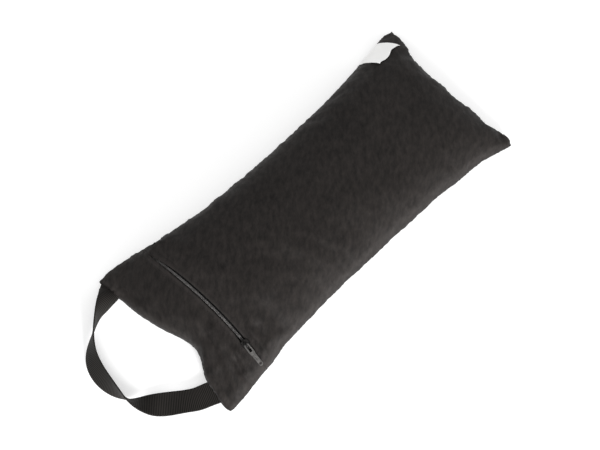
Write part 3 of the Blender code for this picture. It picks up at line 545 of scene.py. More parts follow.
twillLook = {
    "deep": (0.0016, 0.0012, 0.0010, 1), "lit": (0.0198, 0.0163, 0.0148, 1),
    # worn: the colour of wear, also a painted highlight along the seams and the zip's folded edges
    "worn": (0.034, 0.030, 0.028, 1), "lint": (0.060, 0.056, 0.053, 1),
    "pitch": 1.25 * mm, "slub": 1.0, "roughness": 0.68, "sheen": 0.03, "sheenRoughness": 0.4,
    "specular": 0.15, "base": 0.18, "yarnShare": 0.52, "slubShare": 0.75, "shadeShare": 0.16,
    "wornSheenShare": 0.55, "lintShare": 0.6, "patch": 60 * mm, "slubGloss": -0.06, "bump": 0.16 * mm,
    "bumpStrength": 0.8,
}


def makeTwill():
    look = twillLook
    material, tree, shader = newMaterial(
        "charcoal twill", Sheen_Weight=look["sheen"], Sheen_Roughness=look["sheenRoughness"],
        Specular_IOR_Level=look["specular"])
    weave = useGroup(tree, twillGroup, Place=clothPlace(tree), Pitch=look["pitch"], Slub=look["slub"])
    edge = addNode(tree, "ShaderNodeAttribute", {"attribute_name": "wearAndSheen"}).outputs["Fac"]
    marks = useGroup(tree, patchGroup, Place=objectPlace(tree), Size=look["patch"], Edge=edge)
    streak = weave.outputs["Streak"]
    level = addedUp(tree, look["base"], (weave.outputs["Yarn"], look["yarnShare"]),
                    (streak, look["slubShare"]), (marks.outputs["Shade"], look["shadeShare"]))
    colour = mixColour(tree, level, look["deep"], look["lit"])
    # the worn colour along seams and the zip's folded edges is partly wear and partly painted highlight
    colour = mixColour(tree, times(tree, marks.outputs["Worn"], look["wornSheenShare"]), colour, look["worn"])
    colour = mixColour(tree, times(tree, weave.outputs["Lint"], look["lintShare"]), colour, look["lint"])
    setSurface(tree, shader, colour, plus(tree, times(tree, streak, look["slubGloss"]), look["roughness"]))
    setBump(tree, shader, weave.outputs["Height"], look["bump"], look["bumpStrength"])
    return material


twill = makeTwill()
print("twill and shared node groups made")


# The cover: one bag of three panels, inflated by cloth simulation, shaped, then taken apart at its seams

cover = {
    "columns": 56, "endRows": 15, "mainRows": 112, "gather": 0.55,
    "frames": 22, "heldBySeam": 0.9995, "heldByZip": 6 * mm, "evenRounds": 26, "evenShare": 0.35,
    "wrinkleGain": 0.55, "cap": 2.0 * mm, "floorCap": 0.8 * mm, "zipCap": 0.15 * mm, "capFrom": 5 * mm,
    "capOver": 22 * mm, "merge": 0.45 * mm,
    "seamWave": 0.45 * mm, "seamNotch": 0.25 * mm, "notchFade": 14 * mm, "zipRise": 1.2 * mm,
    "thickness": 0.5 * mm, "hemRadius": 0.55 * mm, "hemTuck": 5.5 * mm,
}
clothSettings = {
    "quality": 5, "mass": 0.25, "tension_stiffness": 25, "compression_stiffness": 25, "shear_stiffness": 8,
    "bending_stiffness": 0.15, "use_pressure": True, "uniform_pressure_force": 4.0, "shrink_min": -0.03,
    "vertex_group_mass": "held",
}
# relief of the cloth, with distances and heights in mm
relief = {
    "swells": [(0.55, 0.045, 0), (0.35, 0.11, 40)], "swellMargin": 14, "calmFrom": 6, "calmOver": 12,
    "foldFrom": 5, "hollowFrom": 12, "foldOver": 5, "foldMargin": 3, "foldAtSeam": 0.25,
    "stitchAt": 6.9, "stitchWidth": 1.3, "stitchDepth": 0.35, "stitchReach": 9,
    "lipPower": 0.6, "lipFade": 8, "lipWidth": 5, "notchWidth": 2.2,
    "puckers": [(1.0, 0.16, 7.7, 2.0), (0.6, 0.37, 3.1, 9.0)], "topPucker": 1.1, "backPucker": 0.5,
    "puckerAt": 4.0, "puckerWidth": 5.0, "puckerFromZip": 14,
    # wear bands: partly real wear and partly painted highlight along the seams and the zip's folded edges
    "wearAt": 2.5, "wearWidth": 2.4, "lipWear": 0.7, "lipWearAt": 3.9, "lipWearWidth": 1.2, "floor": 0.05,
}
# how the corners sit: x, y, reach and shift, in mm
cornerShifts = [
    (217, 100.5, 15, (1.3, -5.8, 2.0)), (212, 78, 26, (5.5, 0, 3.0)), (213, -100.5, 9, (-2.2, 2.2, -1.0)),
    (-220.5, 100.5, 8, (-1.2, -1.2, 0)), (-216.5, -100.5, 6, (0.5, 1.2, 0)),
]
# how far the seams stand out from the plain outline: place along the seam and distance, in mm
seamOffsets = {
    "left": [(-205, 3.0), (-196, 2.4), (-173, 1.0), (-151, -1.8), (-129, -2.6), (-107, -2.4), (-86, -1.2),
             (-64, -0.5), (0, -0.6), (21, -0.7), (43, -1.4), (64, -1.0), (86, -2.0), (107, -1.1), (129, -0.8),
             (150, -0.3), (172, 0)],
    "right": [(-194, 1.6), (-172, 0.9), (-150, 1.2), (-129, -2.2), (-86, -2.0), (-64, -2.8), (-43, -2.6),
              (-21, -2.0), (0, -1.0), (21, -0.7), (43, -0.3), (64, 0.5), (107, 0.1), (129, 1.2), (150, -0.1),
              (171, -1.6), (192, -0.9)],
    "far": [(-100, 2), (-95, 4.5), (-88, 6.0), (-75, 3.6), (-63, 1.8), (-50, 2.8), (-38, 1.9), (-25, -0.4),
            (-13, -1.6), (0, -0.8), (25, -0.8), (38, 0.3), (50, 1.8), (63, 4.0), (75, 1.4), (88, 1.6)],
    "near": [(-88, 3.6), (-70, 0.8), (-50, -1.0), (-38, -1.8), (-25, -1.0), (-13, 0.9), (0, 2.1), (13, 2.9),
             (25, 1.8), (38, 0.7), (50, 1.5), (63, 1.6), (75, 3.0), (84, 4.0), (92, 4.6)],
}
# folds in the top: points in mm, half width, height, and what height becomes at the last point
folds = [
    ([(-221, 84), (-217, 74), (-213, 58), (-207, 46)], 4.0, 1.7, 0.2),
    ([(-214, 84), (-211, 66), (-206, 48), (-199, 36)], 4.0, -1.9, -0.2),
    ([(-206, 92), (-203, 74), (-196, 58)], 5.0, 1.2, 0.0),
    ([(-183, -24), (-188, -46), (-193, -59), (-203, -82)], 4.6, -4.0, -1.2),
    ([(-175, -26), (-179, -40), (-183, -56), (-191, -76)], 4.4, 3.6, 0.9),
    ([(-179, -66), (-182, -77), (-184, -87), (-181, -95)], 3.4, -3.4, -0.9),
    ([(-172.5, -60), (-174.5, -73), (-175.5, -88)], 2.3, 2.2, 0.4),
    ([(-148.5, -54), (-149.5, -70), (-151.5, -84), (-154, -93)], 2.6, 3.2, 0.8),
    ([(-141, -58), (-142, -74), (-146, -88)], 4.0, -2.8, -0.5),
    ([(-92, -8), (-78, -26), (-66, -40)], 10.0, -2.0, -1.4),
    ([(-100, -8), (-108, -26), (-112, -40)], 12.0, 1.8, 1.2),
    ([(-174, 60), (-176, 40), (-175, 20), (-172, -10), (-170, -34)], 2.6, -0.7, -0.2),
    ([(206, 54), (196, 60), (182, 62)], 6.0, -1.2, 0.0),
    ([(206, -70), (194, -74), (176, -70)], 6.0, 1.6, 0.0),
    ([(210, -84), (198, -84), (186, -84)], 4.0, -1.4, 0.0),
    ([(208, 20), (196, 16), (184, 14)], 5.0, -1.0, 0.0),
    ([(208, -28), (198, -30), (186, -32)], 5.0, -1.0, 0.0),
]


def offsetOf(name, place):
    return float(np.interp(place / mm, *zip(*seamOffsets[name]))) * mm


def settled(point, u, v):
    # the seams' own line, blunt corners, and a far left one that stands up a little
    moved = point.copy()
    side, end = math.copysign(1, v), math.copysign(1, u)
    moved.y += side * offsetOf("left" if v > 0 else "right", point.x) * abs(v) ** 5 * (1 - abs(u) ** 16)
    moved.x += end * offsetOf("far" if u > 0 else "near", point.y) * abs(u) ** 14 * (1 - abs(v) ** 16)
    for x, y, reach, shift in cornerShifts:
        away = math.hypot(point.x / mm - x, point.y / mm - y)
        moved += Vector(shift) * mm * smoothStep(1 - away / reach)
    return moved


def seamWave(u, v):
    # slight waves in the outline, larger away from the handle's roots
    edge = max(abs(u) ** 24, abs(v) ** 24)
    wave = noise.noise(Vector((u * 9.0, v * 4.5, 3.1))) + 0.5 * noise.noise(Vector((u * 23, v * 11, 8.2)))
    return edge * wave * cover["seamWave"]


def coverPoint(u, v, height):
    x, y = planPoint(u, v)
    wave = seamWave(u, v)
    point = Vector((x + wave * u * abs(u) ** 10, y + wave * math.copysign(1, v) * (1 - abs(u) ** 10), height))
    return settled(point, u, v)


def gathered(share):
    # from 0 to 1, closer together at both ends
    return mix(share, (1 - math.cos(math.pi * share)) / 2, cover["gather"])


def buildBag():
    shape = bmesh.new()
    station = shape.verts.layers.float_vector.new("station")
    panelLayer = shape.faces.layers.int.new("panel")
    cloth = shape.loops.layers.uv.new("cloth")
    columns = cover["columns"]
    values = [2 * gathered(j / columns) - 1 for j in range(columns + 1)]
    starts = {side: [mouthU(v, side) for v in values] for side in (-1, 1)}
    endRows, mainRows = cover["endRows"], cover["mainRows"]

    def endU(row, j):
        return mix(-1.0, starts[-1][j], row)

    def mainU(row, j):
        return mix(starts[1][j], 1.0, mix(row, 1 - (1 - row) ** 1.5, 0.35))

    def backU(row, j):
        # meets both top panels at the side seams
        index = row * (endRows + mainRows)
        sides = []
        for edge in (0, columns):
            if index <= endRows:
                sides.append(endU(index / endRows, edge))
            else:
                sides.append(mainU((index - endRows) / mainRows, edge))
        return mix(sides[0], sides[1], j / columns)

    lots = [(0, mainRows, mainU, topHeight), (1, endRows, endU, topHeight),
            (2, endRows + mainRows, backU, freeBottom)]
    for panel, rows, rowU, height in lots:
        table = np.zeros((rows + 1, columns + 1, 3))
        spots = {}
        made = bmesh.ops.create_grid(shape, x_segments=columns, y_segments=rows, size=1)["verts"]
        for vert in made:
            i = round((vert.co.y + 1) / 2 * rows)
            j = round((vert.co.x + 1) / 2 * columns)
            u, v = rowU(i / rows, j), values[j]
            vert.co = coverPoint(u, v, height(u, v))
            vert[station] = (u, v, panel)
            table[i, j] = vert.co
            spots[vert] = (i, j)
        stepAcross = np.linalg.norm(np.diff(table, axis=1), axis=2)
        stepAlong = np.linalg.norm(np.diff(table, axis=0), axis=2)
        across = np.concatenate([np.zeros((rows + 1, 1)), np.cumsum(stepAcross, axis=1)], axis=1)
        along = np.concatenate([np.zeros((1, columns + 1)), np.cumsum(stepAlong, axis=0)], axis=0)
        across -= across[:, columns // 2][:, None]
        along += table[0, :, 0][None]
        for face in {face for vert in made for face in vert.link_faces}:
            face[panelLayer] = panel
            for loop in face.loops:
                i, j = spots[loop.vert]
                loop[cloth].uv = (along[i, j], across[i, j])
    bmesh.ops.remove_doubles(shape, verts=shape.verts, dist=cover["merge"])
    bmesh.ops.recalc_face_normals(shape, faces=shape.faces)
    turnUp(shape, [face for face in shape.faces if face[panelLayer] == 0])
    crease = shape.edges.layers.float.new("crease_edge")
    for edge in shape.edges:
        if len({face[panelLayer] for face in edge.link_faces}) > 1:
            edge[crease] = 1.0
    return newObject("bag_cover", shape)


def readMany(items, name):
    # a vector of each item, as rows
    values = np.zeros(len(items) * 3)
    items.foreach_get(name, values)
    return values.reshape(-1, 3)


def setPoints(mesh, points):
    mesh.vertices.foreach_set("co", points.astype(np.float32).ravel())
    mesh.update()


def spreadOut(mesh, values, rounds):
    # evens out values over neighbouring vertices
    edges = np.zeros(len(mesh.edges) * 2, dtype=int)
    mesh.edges.foreach_get("vertices", edges)
    first, second = edges.reshape(-1, 2).T
    count = np.bincount(first, minlength=len(values)) + np.bincount(second, minlength=len(values))
    even = values.copy()
    for _ in range(rounds):
        total = np.zeros(even.shape)
        for axis in range(even.shape[1]):
            total[:, axis] = np.bincount(first, even[second, axis], len(values))
            total[:, axis] += np.bincount(second, even[first, axis], len(values))
        even = cover["evenShare"] * even + (1 - cover["evenShare"]) * total / count[:, None]
    return even


def zipDistance(points):
    # how far each point is from the zip's mouth, in plan
    across, along = planToZip(points[:, 0], points[:, 1])
    return np.hypot(across - zipBow(along), np.maximum(0, np.abs(along) - tapeHalf))


def inflate(bag):
    # the slack cloth fills out and puckers along its seams, and only its fine wrinkles are kept
    mesh = bag.data
    rest = readMany(mesh.vertices, "co")
    station = readMany(mesh.attributes["station"].data, "vector")
    zipAway = zipDistance(rest)
    atSeam = np.abs(station[:, :2]).max(axis=1) > cover["heldBySeam"]
    atZip = (zipAway < cover["heldByZip"]) & (station[:, 2] < 1.5)
    group = bag.vertex_groups.new(name="held")
    group.add(np.nonzero(atSeam | atZip)[0].tolist(), 1.0, "REPLACE")
    cloth = bag.modifiers.new("inflate", "CLOTH")
    for key, value in clothSettings.items():
        setattr(cloth.settings, key, value)
    cloth.settings.effector_weights.gravity = 0
    cloth.collision_settings.use_collision = False
    cloth.collision_settings.use_self_collision = False
    cloth.point_cache.frame_start = 1
    cloth.point_cache.frame_end = cover["frames"]
    for number in range(1, cover["frames"] + 1):
        bpy.context.scene.frame_set(number)
    graph = bpy.context.evaluated_depsgraph_get()
    moved = readMany(bag.evaluated_get(graph).data.vertices, "co")
    bag.modifiers.remove(cloth)
    bpy.context.scene.frame_set(1)
    shift = moved - rest
    print("cloth moved at most", round(float(np.linalg.norm(shift, axis=1).max()) / mm, 2), "mm")
    wrinkle = (shift - spreadOut(mesh, shift, cover["evenRounds"])) * cover["wrinkleGain"]
    away = np.clip((zipAway - cover["capFrom"]) / cover["capOver"], 0, 1)
    cap = np.where(station[:, 2] > 1.5, cover["floorCap"], mix(cover["zipCap"], cover["cap"], away))
    length = np.linalg.norm(wrinkle, axis=1) + 1e-12
    wrinkle *= (cap * np.tanh(length / cap) / length)[:, None]
    print("wrinkles reach", round(float(np.linalg.norm(wrinkle, axis=1).max()) / mm, 2), "mm")
    setPoints(mesh, rest + wrinkle)


def foldHeight(x, y):
    total = 0.0
    for points, width, height, last in folds:
        best, share = 1e9, 0.0
        for k in range(len(points) - 1):
            ax, ay = points[k]
            bx, by = points[k + 1]
            length = (bx - ax) ** 2 + (by - ay) ** 2
            t = clamp(((x - ax) * (bx - ax) + (y - ay) * (by - ay)) / length)
            away = math.hypot(x - ax - t * (bx - ax), y - ay - t * (by - ay))
            if away < best:
                best, share = away, (k + t) / (len(points) - 1)
        if best < 3 * width:
            start = smoothStep(share * 5 + 0.35)
            total += mix(height, last, share) * start * bellCurve(best, width)
    return total


def topLift(point, sideAway, seamAway, away):
    # what a top panel gains, in mm: unevenness and folds, less the stitched line,
    # and a lip where the zip narrows
    x, y, z = point / mm
    swell = 0.0
    for height, scale, shift in relief["swells"]:
        swell += height * noise.noise(Vector((x, y, z + shift)) * scale)
    calm = clamp((away - relief["calmFrom"]) / relief["calmOver"])
    lift = swell * smoothStep(sideAway / relief["swellMargin"]) * calm
    fold = foldHeight(x, y)
    calm = clamp((away - relief["foldFrom" if fold > 0 else "hollowFrom"]) / relief["foldOver"])
    lift += fold * smoothStep(seamAway / relief["foldMargin"] + relief["foldAtSeam"]) * calm
    if away < relief["stitchReach"]:
        lift -= relief["stitchDepth"] * bellCurve(away - relief["stitchAt"], relief["stitchWidth"])
    across, past = planToZip(point[0], point[1])
    if past > 0:
        fade = relief["lipFade"] * mm
        narrow = (1 - mouthGap(past) / zipShape["mouthHalf"]) ** relief["lipPower"]
        narrow *= smoothStep((tapeHalf + fade - past) / fade)
        lift += cover["zipRise"] / mm * narrow * bellCurve(across - zipBow(past), relief["lipWidth"] * mm)
    return lift


def seamPucker(along, panel, seamAway, away):
    wave = 0.0
    for share, scale, spread, shift in relief["puckers"]:
        wave += share * noise.noise(Vector((along * scale, panel * spread, shift)))
    wave *= relief["topPucker" if panel < 1.5 else "backPucker"]
    wave *= bellCurve(seamAway - relief["puckerAt"], relief["puckerWidth"])
    return wave * smoothStep(away / relief["puckerFromZip"])


def shapeCover(bag):
    # unevenness, folds, puckers and a notch along the seams, and where the cloth is worn and a highlight is
    # painted, along the seams and the zip's folded edges
    mesh = bag.data
    points = readMany(mesh.vertices, "co")
    normals = readMany(mesh.vertices, "normal")
    station = readMany(mesh.attributes["station"].data, "vector")
    zipAway = zipDistance(points) / mm
    lift = np.zeros(len(points))
    wearAndSheen = np.zeros(len(points))
    inward = np.zeros(points.shape)
    for index, (u, v, panel) in enumerate(station):
        away = zipAway[index]
        sideAway = (1 - abs(v)) * halfWidth(u) / mm
        endAway = (1 - abs(u)) * halfLength / mm
        seamAway = min(sideAway, endAway)
        if panel < 1.5:
            lift[index] = topLift(points[index], sideAway, seamAway, away)
        axis = 1 if sideAway < endAway else 0
        lift[index] += seamPucker(points[index][1 - axis] / mm, panel, seamAway, away)
        notch = bellCurve(seamAway, relief["notchWidth"]) * cover["seamNotch"]
        notch *= smoothStep(max(sideAway, endAway) * mm / cover["notchFade"])
        inward[index][axis] = -math.copysign(notch, (u, v)[axis])
        # wear along the seams and at the zip's folded edge, partly real wear and partly painted highlight
        wearAndSheen[index] = max(bellCurve(seamAway - relief["wearAt"], relief["wearWidth"]),
                          relief["lipWear"] * bellCurve(away - relief["lipWearAt"], relief["lipWearWidth"]))
    points = points + normals * (lift * mm)[:, None] + inward
    points[:, 2] = np.maximum(points[:, 2], relief["floor"] * mm)
    setPoints(mesh, points)
    layer = mesh.attributes.new("wearAndSheen", "FLOAT", "POINT")
    layer.data.foreach_set("value", wearAndSheen.astype(np.float32))


def addHem(shape, side, panelUv):
    # turns the panel's edge under, along the zip
    edges = [edge for edge in shape.edges if edge[shape.edges.layers.int["mouth"]]]
    shape.normal_update()
    ring = {vert for edge in edges for vert in edge.verts}
    origin = {}
    for vert in ring:
        across = zipFrame(planToZip(vert.co.x, vert.co.y)[1]).to_3x3() @ Vector((-side, 0, 0))
        outward = (across - vert.normal * across.dot(vert.normal)).normalized()
        uv = vert.link_loops[0][panelUv].uv.copy()
        origin[vert] = (vert.co.copy(), vert.normal.copy(), outward, uv)
    radius = cover["hemRadius"]
    path = [(radius * math.sin(a), radius * (1 - math.cos(a))) for a in np.radians((45, 90, 135, 180))]
    path += [(-cover["hemTuck"] * share, 2 * radius) for share in (0.3, 0.65, 1.0)]
    travelled = 0.0
    last = (0.0, 0.0)
    for step in path:
        travelled += math.hypot(step[0] - last[0], step[1] - last[1])
        last = step
        grown = bmesh.ops.extrude_edge_only(shape, edges=edges)["geom"]
        fresh = [item for item in grown if isinstance(item, bmesh.types.BMVert)]
        for vert in fresh:
            source = next(edge.other_vert(vert) for edge in vert.link_edges if edge.other_vert(vert) in ring)
            origin[vert] = origin[source]
            base, normal, outward, uv = origin[source]
            vert.co = base + outward * step[0] - normal * step[1]
        for face in {face for vert in fresh for face in vert.link_faces}:
            for loop in face.loops:
                uv = origin[loop.vert][3]
                away = travelled if loop.vert in fresh else travelled - radius
                loop[panelUv].uv = (uv.x - side * away, uv.y)
        edges = [item for item in grown if isinstance(item, bmesh.types.BMEdge)]
        ring = set(fresh)


def splitCover(bag):
    # the three panels, each a piece of its own
    whole = bmesh.new()
    whole.from_mesh(bag.data)
    mouth = whole.edges.layers.int.new("mouth")
    for edge in whole.edges:
        edge[mouth] = 1 if edge.is_boundary else 0
    marked = bpy.data.meshes.new("marked bag")
    whole.to_mesh(marked)
    whole.free()
    lots = [(0, "twill_main_panel", "cover_main_panel", 1), (1, "twill_end_panel", "cover_end_panel", -1),
            (2, "twill_back_panel", "cover_back_panel", 0)]
    pieces = []
    for panel, name, node, side in lots:
        shape = bmesh.new()
        shape.from_mesh(marked)
        layer = shape.faces.layers.int["panel"]
        others = [face for face in shape.faces if face[layer] != panel]
        bmesh.ops.delete(shape, geom=others, context="FACES")
        if side:
            addHem(shape, side, shape.loops.layers.uv["cloth"])
        piece = newObject(name, shape)
        for attribute in ("station", "mouth", "panel", "crease_edge"):
            found = piece.data.attributes.get(attribute)
            if found:
                piece.data.attributes.remove(found)
        addSolidify(piece, cover["thickness"])
        finishPiece(piece, twill, "bag")
        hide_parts(node)
        pieces.append(piece)
    bpy.data.meshes.remove(marked)
    return pieces


bag = buildBag()
print("bag has", len(bag.data.vertices), "vertices before it is inflated")
inflate(bag)
rounding = bag.modifiers.new("round", "SUBSURF")
rounding.levels = 1
rounding.render_levels = 1
applyModifiers(bag)
shapeCover(bag)
panels = splitCover(bag)
coverTree = BVHTree.FromObject(bag, bpy.context.evaluated_depsgraph_get())
bpy.data.objects.remove(bag)
print("cover done:", [len(piece.data.polygons) for piece in panels], "faces")


# Zip: two woven tapes, a nylon coil, stops, slider and pull

tapeLook = {
    "steps": 180, "across": 12, "bead": 0.22 * mm, "beadAt": 0.5 * mm, "past": 7 * mm, "overlap": 0.15 * mm,
    "closedPast": 2.4 * mm, "closedBefore": 4 * mm, "closing": 1.5 * mm, "closedEdge": 0.12 * mm,
    # deep and lit: the tape's black, made darker than the twill as painted shadow in the gaps beside the coil
    "pitch": 0.8 * mm, "deep": (0.0012, 0.0011, 0.0011, 1), "lit": (0.0075, 0.0070, 0.0068, 1),
}
coil = {
    "pitch": 1.3 * mm, "wire": 0.33 * mm, "around": 11, "section": 5, "halfAcross": 0.78 * mm,
    "halfUp": 0.6 * mm, "centre": 0.52 * mm, "slant": 0.42 * mm, "tail": 10.5 * mm,
    # deep and lit: a pale grey, paler than the coil's dark nylon, as a painted highlight along the chain
    "deep": (0.050, 0.047, 0.046, 1), "lit": (0.125, 0.119, 0.116, 1),
}


def makeTape():
    material, tree, shader = newMaterial("zip tape", Specular_IOR_Level=0.12)
    weave = useGroup(tree, twillGroup, Place=clothPlace(tree), Pitch=tapeLook["pitch"], Slub=0.4)
    yarn = weave.outputs["Yarn"]
    # the tape is near-black, darker than the twill, as painted shadow in the gaps beside the coil
    colour = mixColour(tree, yarn, tapeLook["deep"], tapeLook["lit"])
    setSurface(tree, shader, colour, rampNode(tree, yarn, 0, 1, 0.9, 0.72))
    setBump(tree, shader, weave.outputs["Height"], 0.1 * mm, 0.8)
    return material


def makeNylon():
    material, tree, shader = newMaterial("zip nylon", IOR=1.53, Specular_IOR_Level=0.55)
    place = objectPlace(tree)
    marks = useGroup(tree, patchGroup, Place=place, Size=3 * mm, Edge=0.5)
    # the nylon's pale grey is a painted highlight over the coil's dark nylon
    colour = mixColour(tree, marks.outputs["Shade"], coil["deep"], coil["lit"])
    setSurface(tree, shader, colour, rampNode(tree, marks.outputs["Dust"], 0, 1, 0.34, 0.6))
    setBump(tree, shader, noiseNode(tree, place, 2200, 2), 0.02 * mm, 0.5)
    return material


def makeGunmetal(name, dark, pale, worn):
    material, tree, shader = newMaterial(name, Metallic=1.0)
    place = objectPlace(tree)
    edge = rampNode(tree, noiseNode(tree, place, 900, 3), 0.35, 0.75)
    marks = useGroup(tree, patchGroup, Place=place, Size=2.5 * mm, Edge=edge)
    colour = mixColour(tree, marks.outputs["Shade"], grey(dark, 0.03), grey(pale, 0.03))
    colour = mixColour(tree, marks.outputs["Worn"], colour, grey(worn, 0.04))
    setSurface(tree, shader, colour, rampNode(tree, marks.outputs["Shade"], 0, 1, 0.24, 0.42))
    brushed = {"Vector": place, "Rotation": (0.3, 0.2, 0.7), "Scale": (900, 9000, 9000)}
    scratch = addNode(tree, "ShaderNodeMapping", None, **brushed)
    setBump(tree, shader, noiseNode(tree, scratch.outputs[0], 1.0, 2), 0.012 * mm, 0.5)
    return material


tapeCloth, nylon = makeTape(), makeNylon()
gunmetal = makeGunmetal("worn gunmetal", 0.065, 0.115, 0.21)
blackMetal = makeGunmetal("blackened metal", 0.007, 0.016, 0.045)


def tapeSpot(row, column):
    # along and across the zip; the tapes close up past both ends of the chain
    along = mix(-1, 1, row) * (tapeHalf + tapeLook["past"])
    closed = smoothStep((along - chainEnd - tapeLook["closedPast"]) / tapeLook["closing"])
    closed += smoothStep((chainStart - tapeLook["closedBefore"] - along) / tapeLook["closing"])
    inner = mix(zipShape["tapeEdge"] - tapeLook["overlap"], tapeLook["closedEdge"], closed)
    return along, mix(inner, zipShape["tapeEdge"] + zipShape["tapeWidth"], column)


def buildTapes():
    for name, node, side in (("woven_tape_far", "zip_tape_far", 1), ("woven_tape_near", "zip_tape_near", -1)):
        shape = bmesh.new()

        def place(row, column, side=side):
            along, across = tapeSpot(row, column)
            edgeAway = column * zipShape["tapeWidth"] - tapeLook["beadAt"]
            bead = tapeLook["bead"] * bellCurve(edgeAway, tapeLook["beadAt"])
            return zipPoint(side * across + zipBow(along), along, zipShape["tapeTop"] + bead)

        addGrid(shape, tapeLook["across"], tapeLook["steps"], place, tapeSpot)
        turnUp(shape, shape.faces)
        piece = newObject(name, shape)
        addSolidify(piece, zipShape["tapeThickness"])
        finishPiece(piece, tapeCloth, "bag")
        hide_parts(node)


def coilLoop():
    # one turn of the coil, an oval ring of round wire
    shape = bmesh.new()

    def place(ring, angle):
        turn, side = ring * 2 * math.pi, angle * 2 * math.pi
        x = (coil["halfAcross"] + coil["wire"] * math.cos(side)) * math.cos(turn)
        z = (coil["halfUp"] + coil["wire"] * math.cos(side)) * math.sin(turn)
        return Vector((x, coil["slant"] * math.cos(turn) + coil["wire"] * math.sin(side), z))

    addTube(shape, coil["around"], coil["section"], place, closeEnds=False)
    bmesh.ops.remove_doubles(shape, verts=shape.verts, dist=1e-6)
    bmesh.ops.recalc_face_normals(shape, faces=shape.faces)
    mesh = bpy.data.meshes.new("coil loop")
    shape.to_mesh(mesh)
    shape.free()
    return mesh


def buildCoil():
    template = coilLoop()
    middle = zipShape["tapeTop"] - zipShape["tapeThickness"] / 2
    count = int((chainEnd + coil["tail"] - chainStart) / coil["pitch"])
    for name, node, side in (("coil_far", "zip_teeth_far", 1), ("coil_near", "zip_teeth_near", -1)):
        shape = bmesh.new()
        for index in range(count):
            along = chainStart + (index + (0.5 if side > 0 else 1.0)) * coil["pitch"]
            before = len(shape.verts)
            shape.from_mesh(template)
            shape.verts.ensure_lookup_table()
            fresh = shape.verts[before:]
            spot = Matrix.Translation((side * coil["centre"] + zipBow(along), 0, middle))
            matrix = zipFrame(along) @ spot @ Matrix.Rotation(0 if side > 0 else math.pi, 4, "Z")
            bmesh.ops.transform(shape, matrix=matrix, verts=fresh)
        piece = newObject(name, shape)
        finishPiece(piece, nylon, "bag")
        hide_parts(node)
    bpy.data.meshes.remove(template)


def castCopy(name, node, material, body, edge):
    # a rigid CAD piece with its edges rounded
    shape = bmesh.new()
    shape.from_mesh(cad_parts[node].data)
    bmesh.ops.remove_doubles(shape, verts=shape.verts, dist=1e-6)
    bmesh.ops.dissolve_limit(shape, angle_limit=math.radians(2), verts=shape.verts, edges=shape.edges)
    bevelEdges(shape, sharpEdges(shape, math.radians(28)), edge)
    piece = newObject(name, shape)
    piece.data.shade_flat()
    finishPiece(piece, material, body)
    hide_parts(node)


slider = {
    "length": 11 * mm, "width": 9 * mm, "nose": 6.6 * mm, "plate": 1.1 * mm, "plateUp": 0.35 * mm,
    "plateSquare": 3.2, "lowerTop": -3.2 * mm, "edge": 0.28 * mm, "sink": 0.25 * mm,
    "ribInner": 2.65 * mm, "rib": 0.7 * mm, "ribLength": 7 * mm, "ribLow": -1.2 * mm, "lipHigh": -2.5 * mm,
    "postWidth": 1.8 * mm, "postLength": 2 * mm, "postIn": 0.3 * mm, "postEdge": 0.3 * mm,
    "ribEdge": 0.15 * mm, "lipEdge": 0.12 * mm, "bailWidth": 1.7 * mm, "bailBar": 1.05 * mm,
    "bailHalf": 3.1 * mm, "bailTop": 4.1 * mm, "bailBend": 0.72,
}


def platePiece(low, high):
    # a shield-shaped plate with rounded edges
    shape = bmesh.new()
    bmesh.ops.create_circle(shape, cap_ends=True, segments=44, radius=1)
    for vert in shape.verts:
        angle = math.atan2(vert.co.y, vert.co.x)
        radius = squareness(angle, slider["plateSquare"])
        y = radius * math.sin(angle)
        half = mix(slider["width"], slider["nose"], abs(y) ** 4) / 2
        vert.co = Vector((radius * math.cos(angle) * half, y * slider["length"] / 2, low))
    raiseFaces(shape, high - low)
    bevelEdges(shape, sharpEdges(shape, 1.0), slider["edge"], 3)
    return shape


def blockPiece(low, high, edge):
    shape = bmesh.new()
    bmesh.ops.create_cube(shape, size=1)
    for vert in shape.verts:
        vert.co = Vector([mix(low[k], high[k], vert.co[k] + 0.5) for k in range(3)])
    bevelEdges(shape, shape.edges[:], edge)
    return shape


def bailPiece():
    # the bridge over the plate that holds the pull
    shape = bmesh.new()
    foot = slider["plateUp"] + slider["plate"] - slider["sink"]

    def centre(share):
        turn = math.pi * share
        y = -math.copysign(abs(math.cos(turn)) ** slider["bailBend"], math.cos(turn)) * slider["bailHalf"]
        return Vector((0, y, foot + abs(math.sin(turn)) ** slider["bailBend"] * (slider["bailTop"] - foot)))

    def place(ring, angle):
        step = 0.004
        along = (centre(min(1, ring + step)) - centre(max(0, ring - step))).normalized()
        out = Vector((1, 0, 0)).cross(along)
        turn = angle * 2 * math.pi
        square = squareness(turn, 4)
        across = square * math.cos(turn) * slider["bailWidth"] / 2
        return centre(ring) + Vector((across, 0, 0)) + out * square * math.sin(turn) * slider["bailBar"] / 2

    addTube(shape, 26, 16, place)
    bmesh.ops.recalc_face_normals(shape, faces=shape.faces)
    return shape


def buildSlider():
    plateUp, lowerTop, sink = slider["plateUp"], slider["lowerTop"], slider["sink"]
    front = slider["postIn"] - slider["length"] / 2
    half, reach = slider["postWidth"] / 2, slider["ribLength"] / 2
    postLow = (-half, front, lowerTop - sink)
    postHigh = (half, front + slider["postLength"], plateUp + sink)
    shapes = [platePiece(lowerTop - slider["plate"], lowerTop),
              blockPiece(postLow, postHigh, slider["postEdge"])]
    for side in (-1, 1):
        low, high = sorted((side * slider["ribInner"], side * (slider["ribInner"] + slider["rib"])))
        for bottom, top, edge in ((slider["ribLow"], plateUp + sink, slider["ribEdge"]),
                                  (lowerTop - sink, slider["lipHigh"], slider["lipEdge"])):
            shapes.append(blockPiece((low, -reach, bottom), (high, reach, top), edge))
    shapes.append(bailPiece())
    piece = newObject("slider_body", platePiece(plateUp, plateUp + slider["plate"]))
    combine(piece, shapes, "UNION")
    piece.data.transform(zipFrame(sliderPlace))
    piece.data.shade_flat()
    finishPiece(piece, blackMetal, "slider")
    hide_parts("zip_slider")


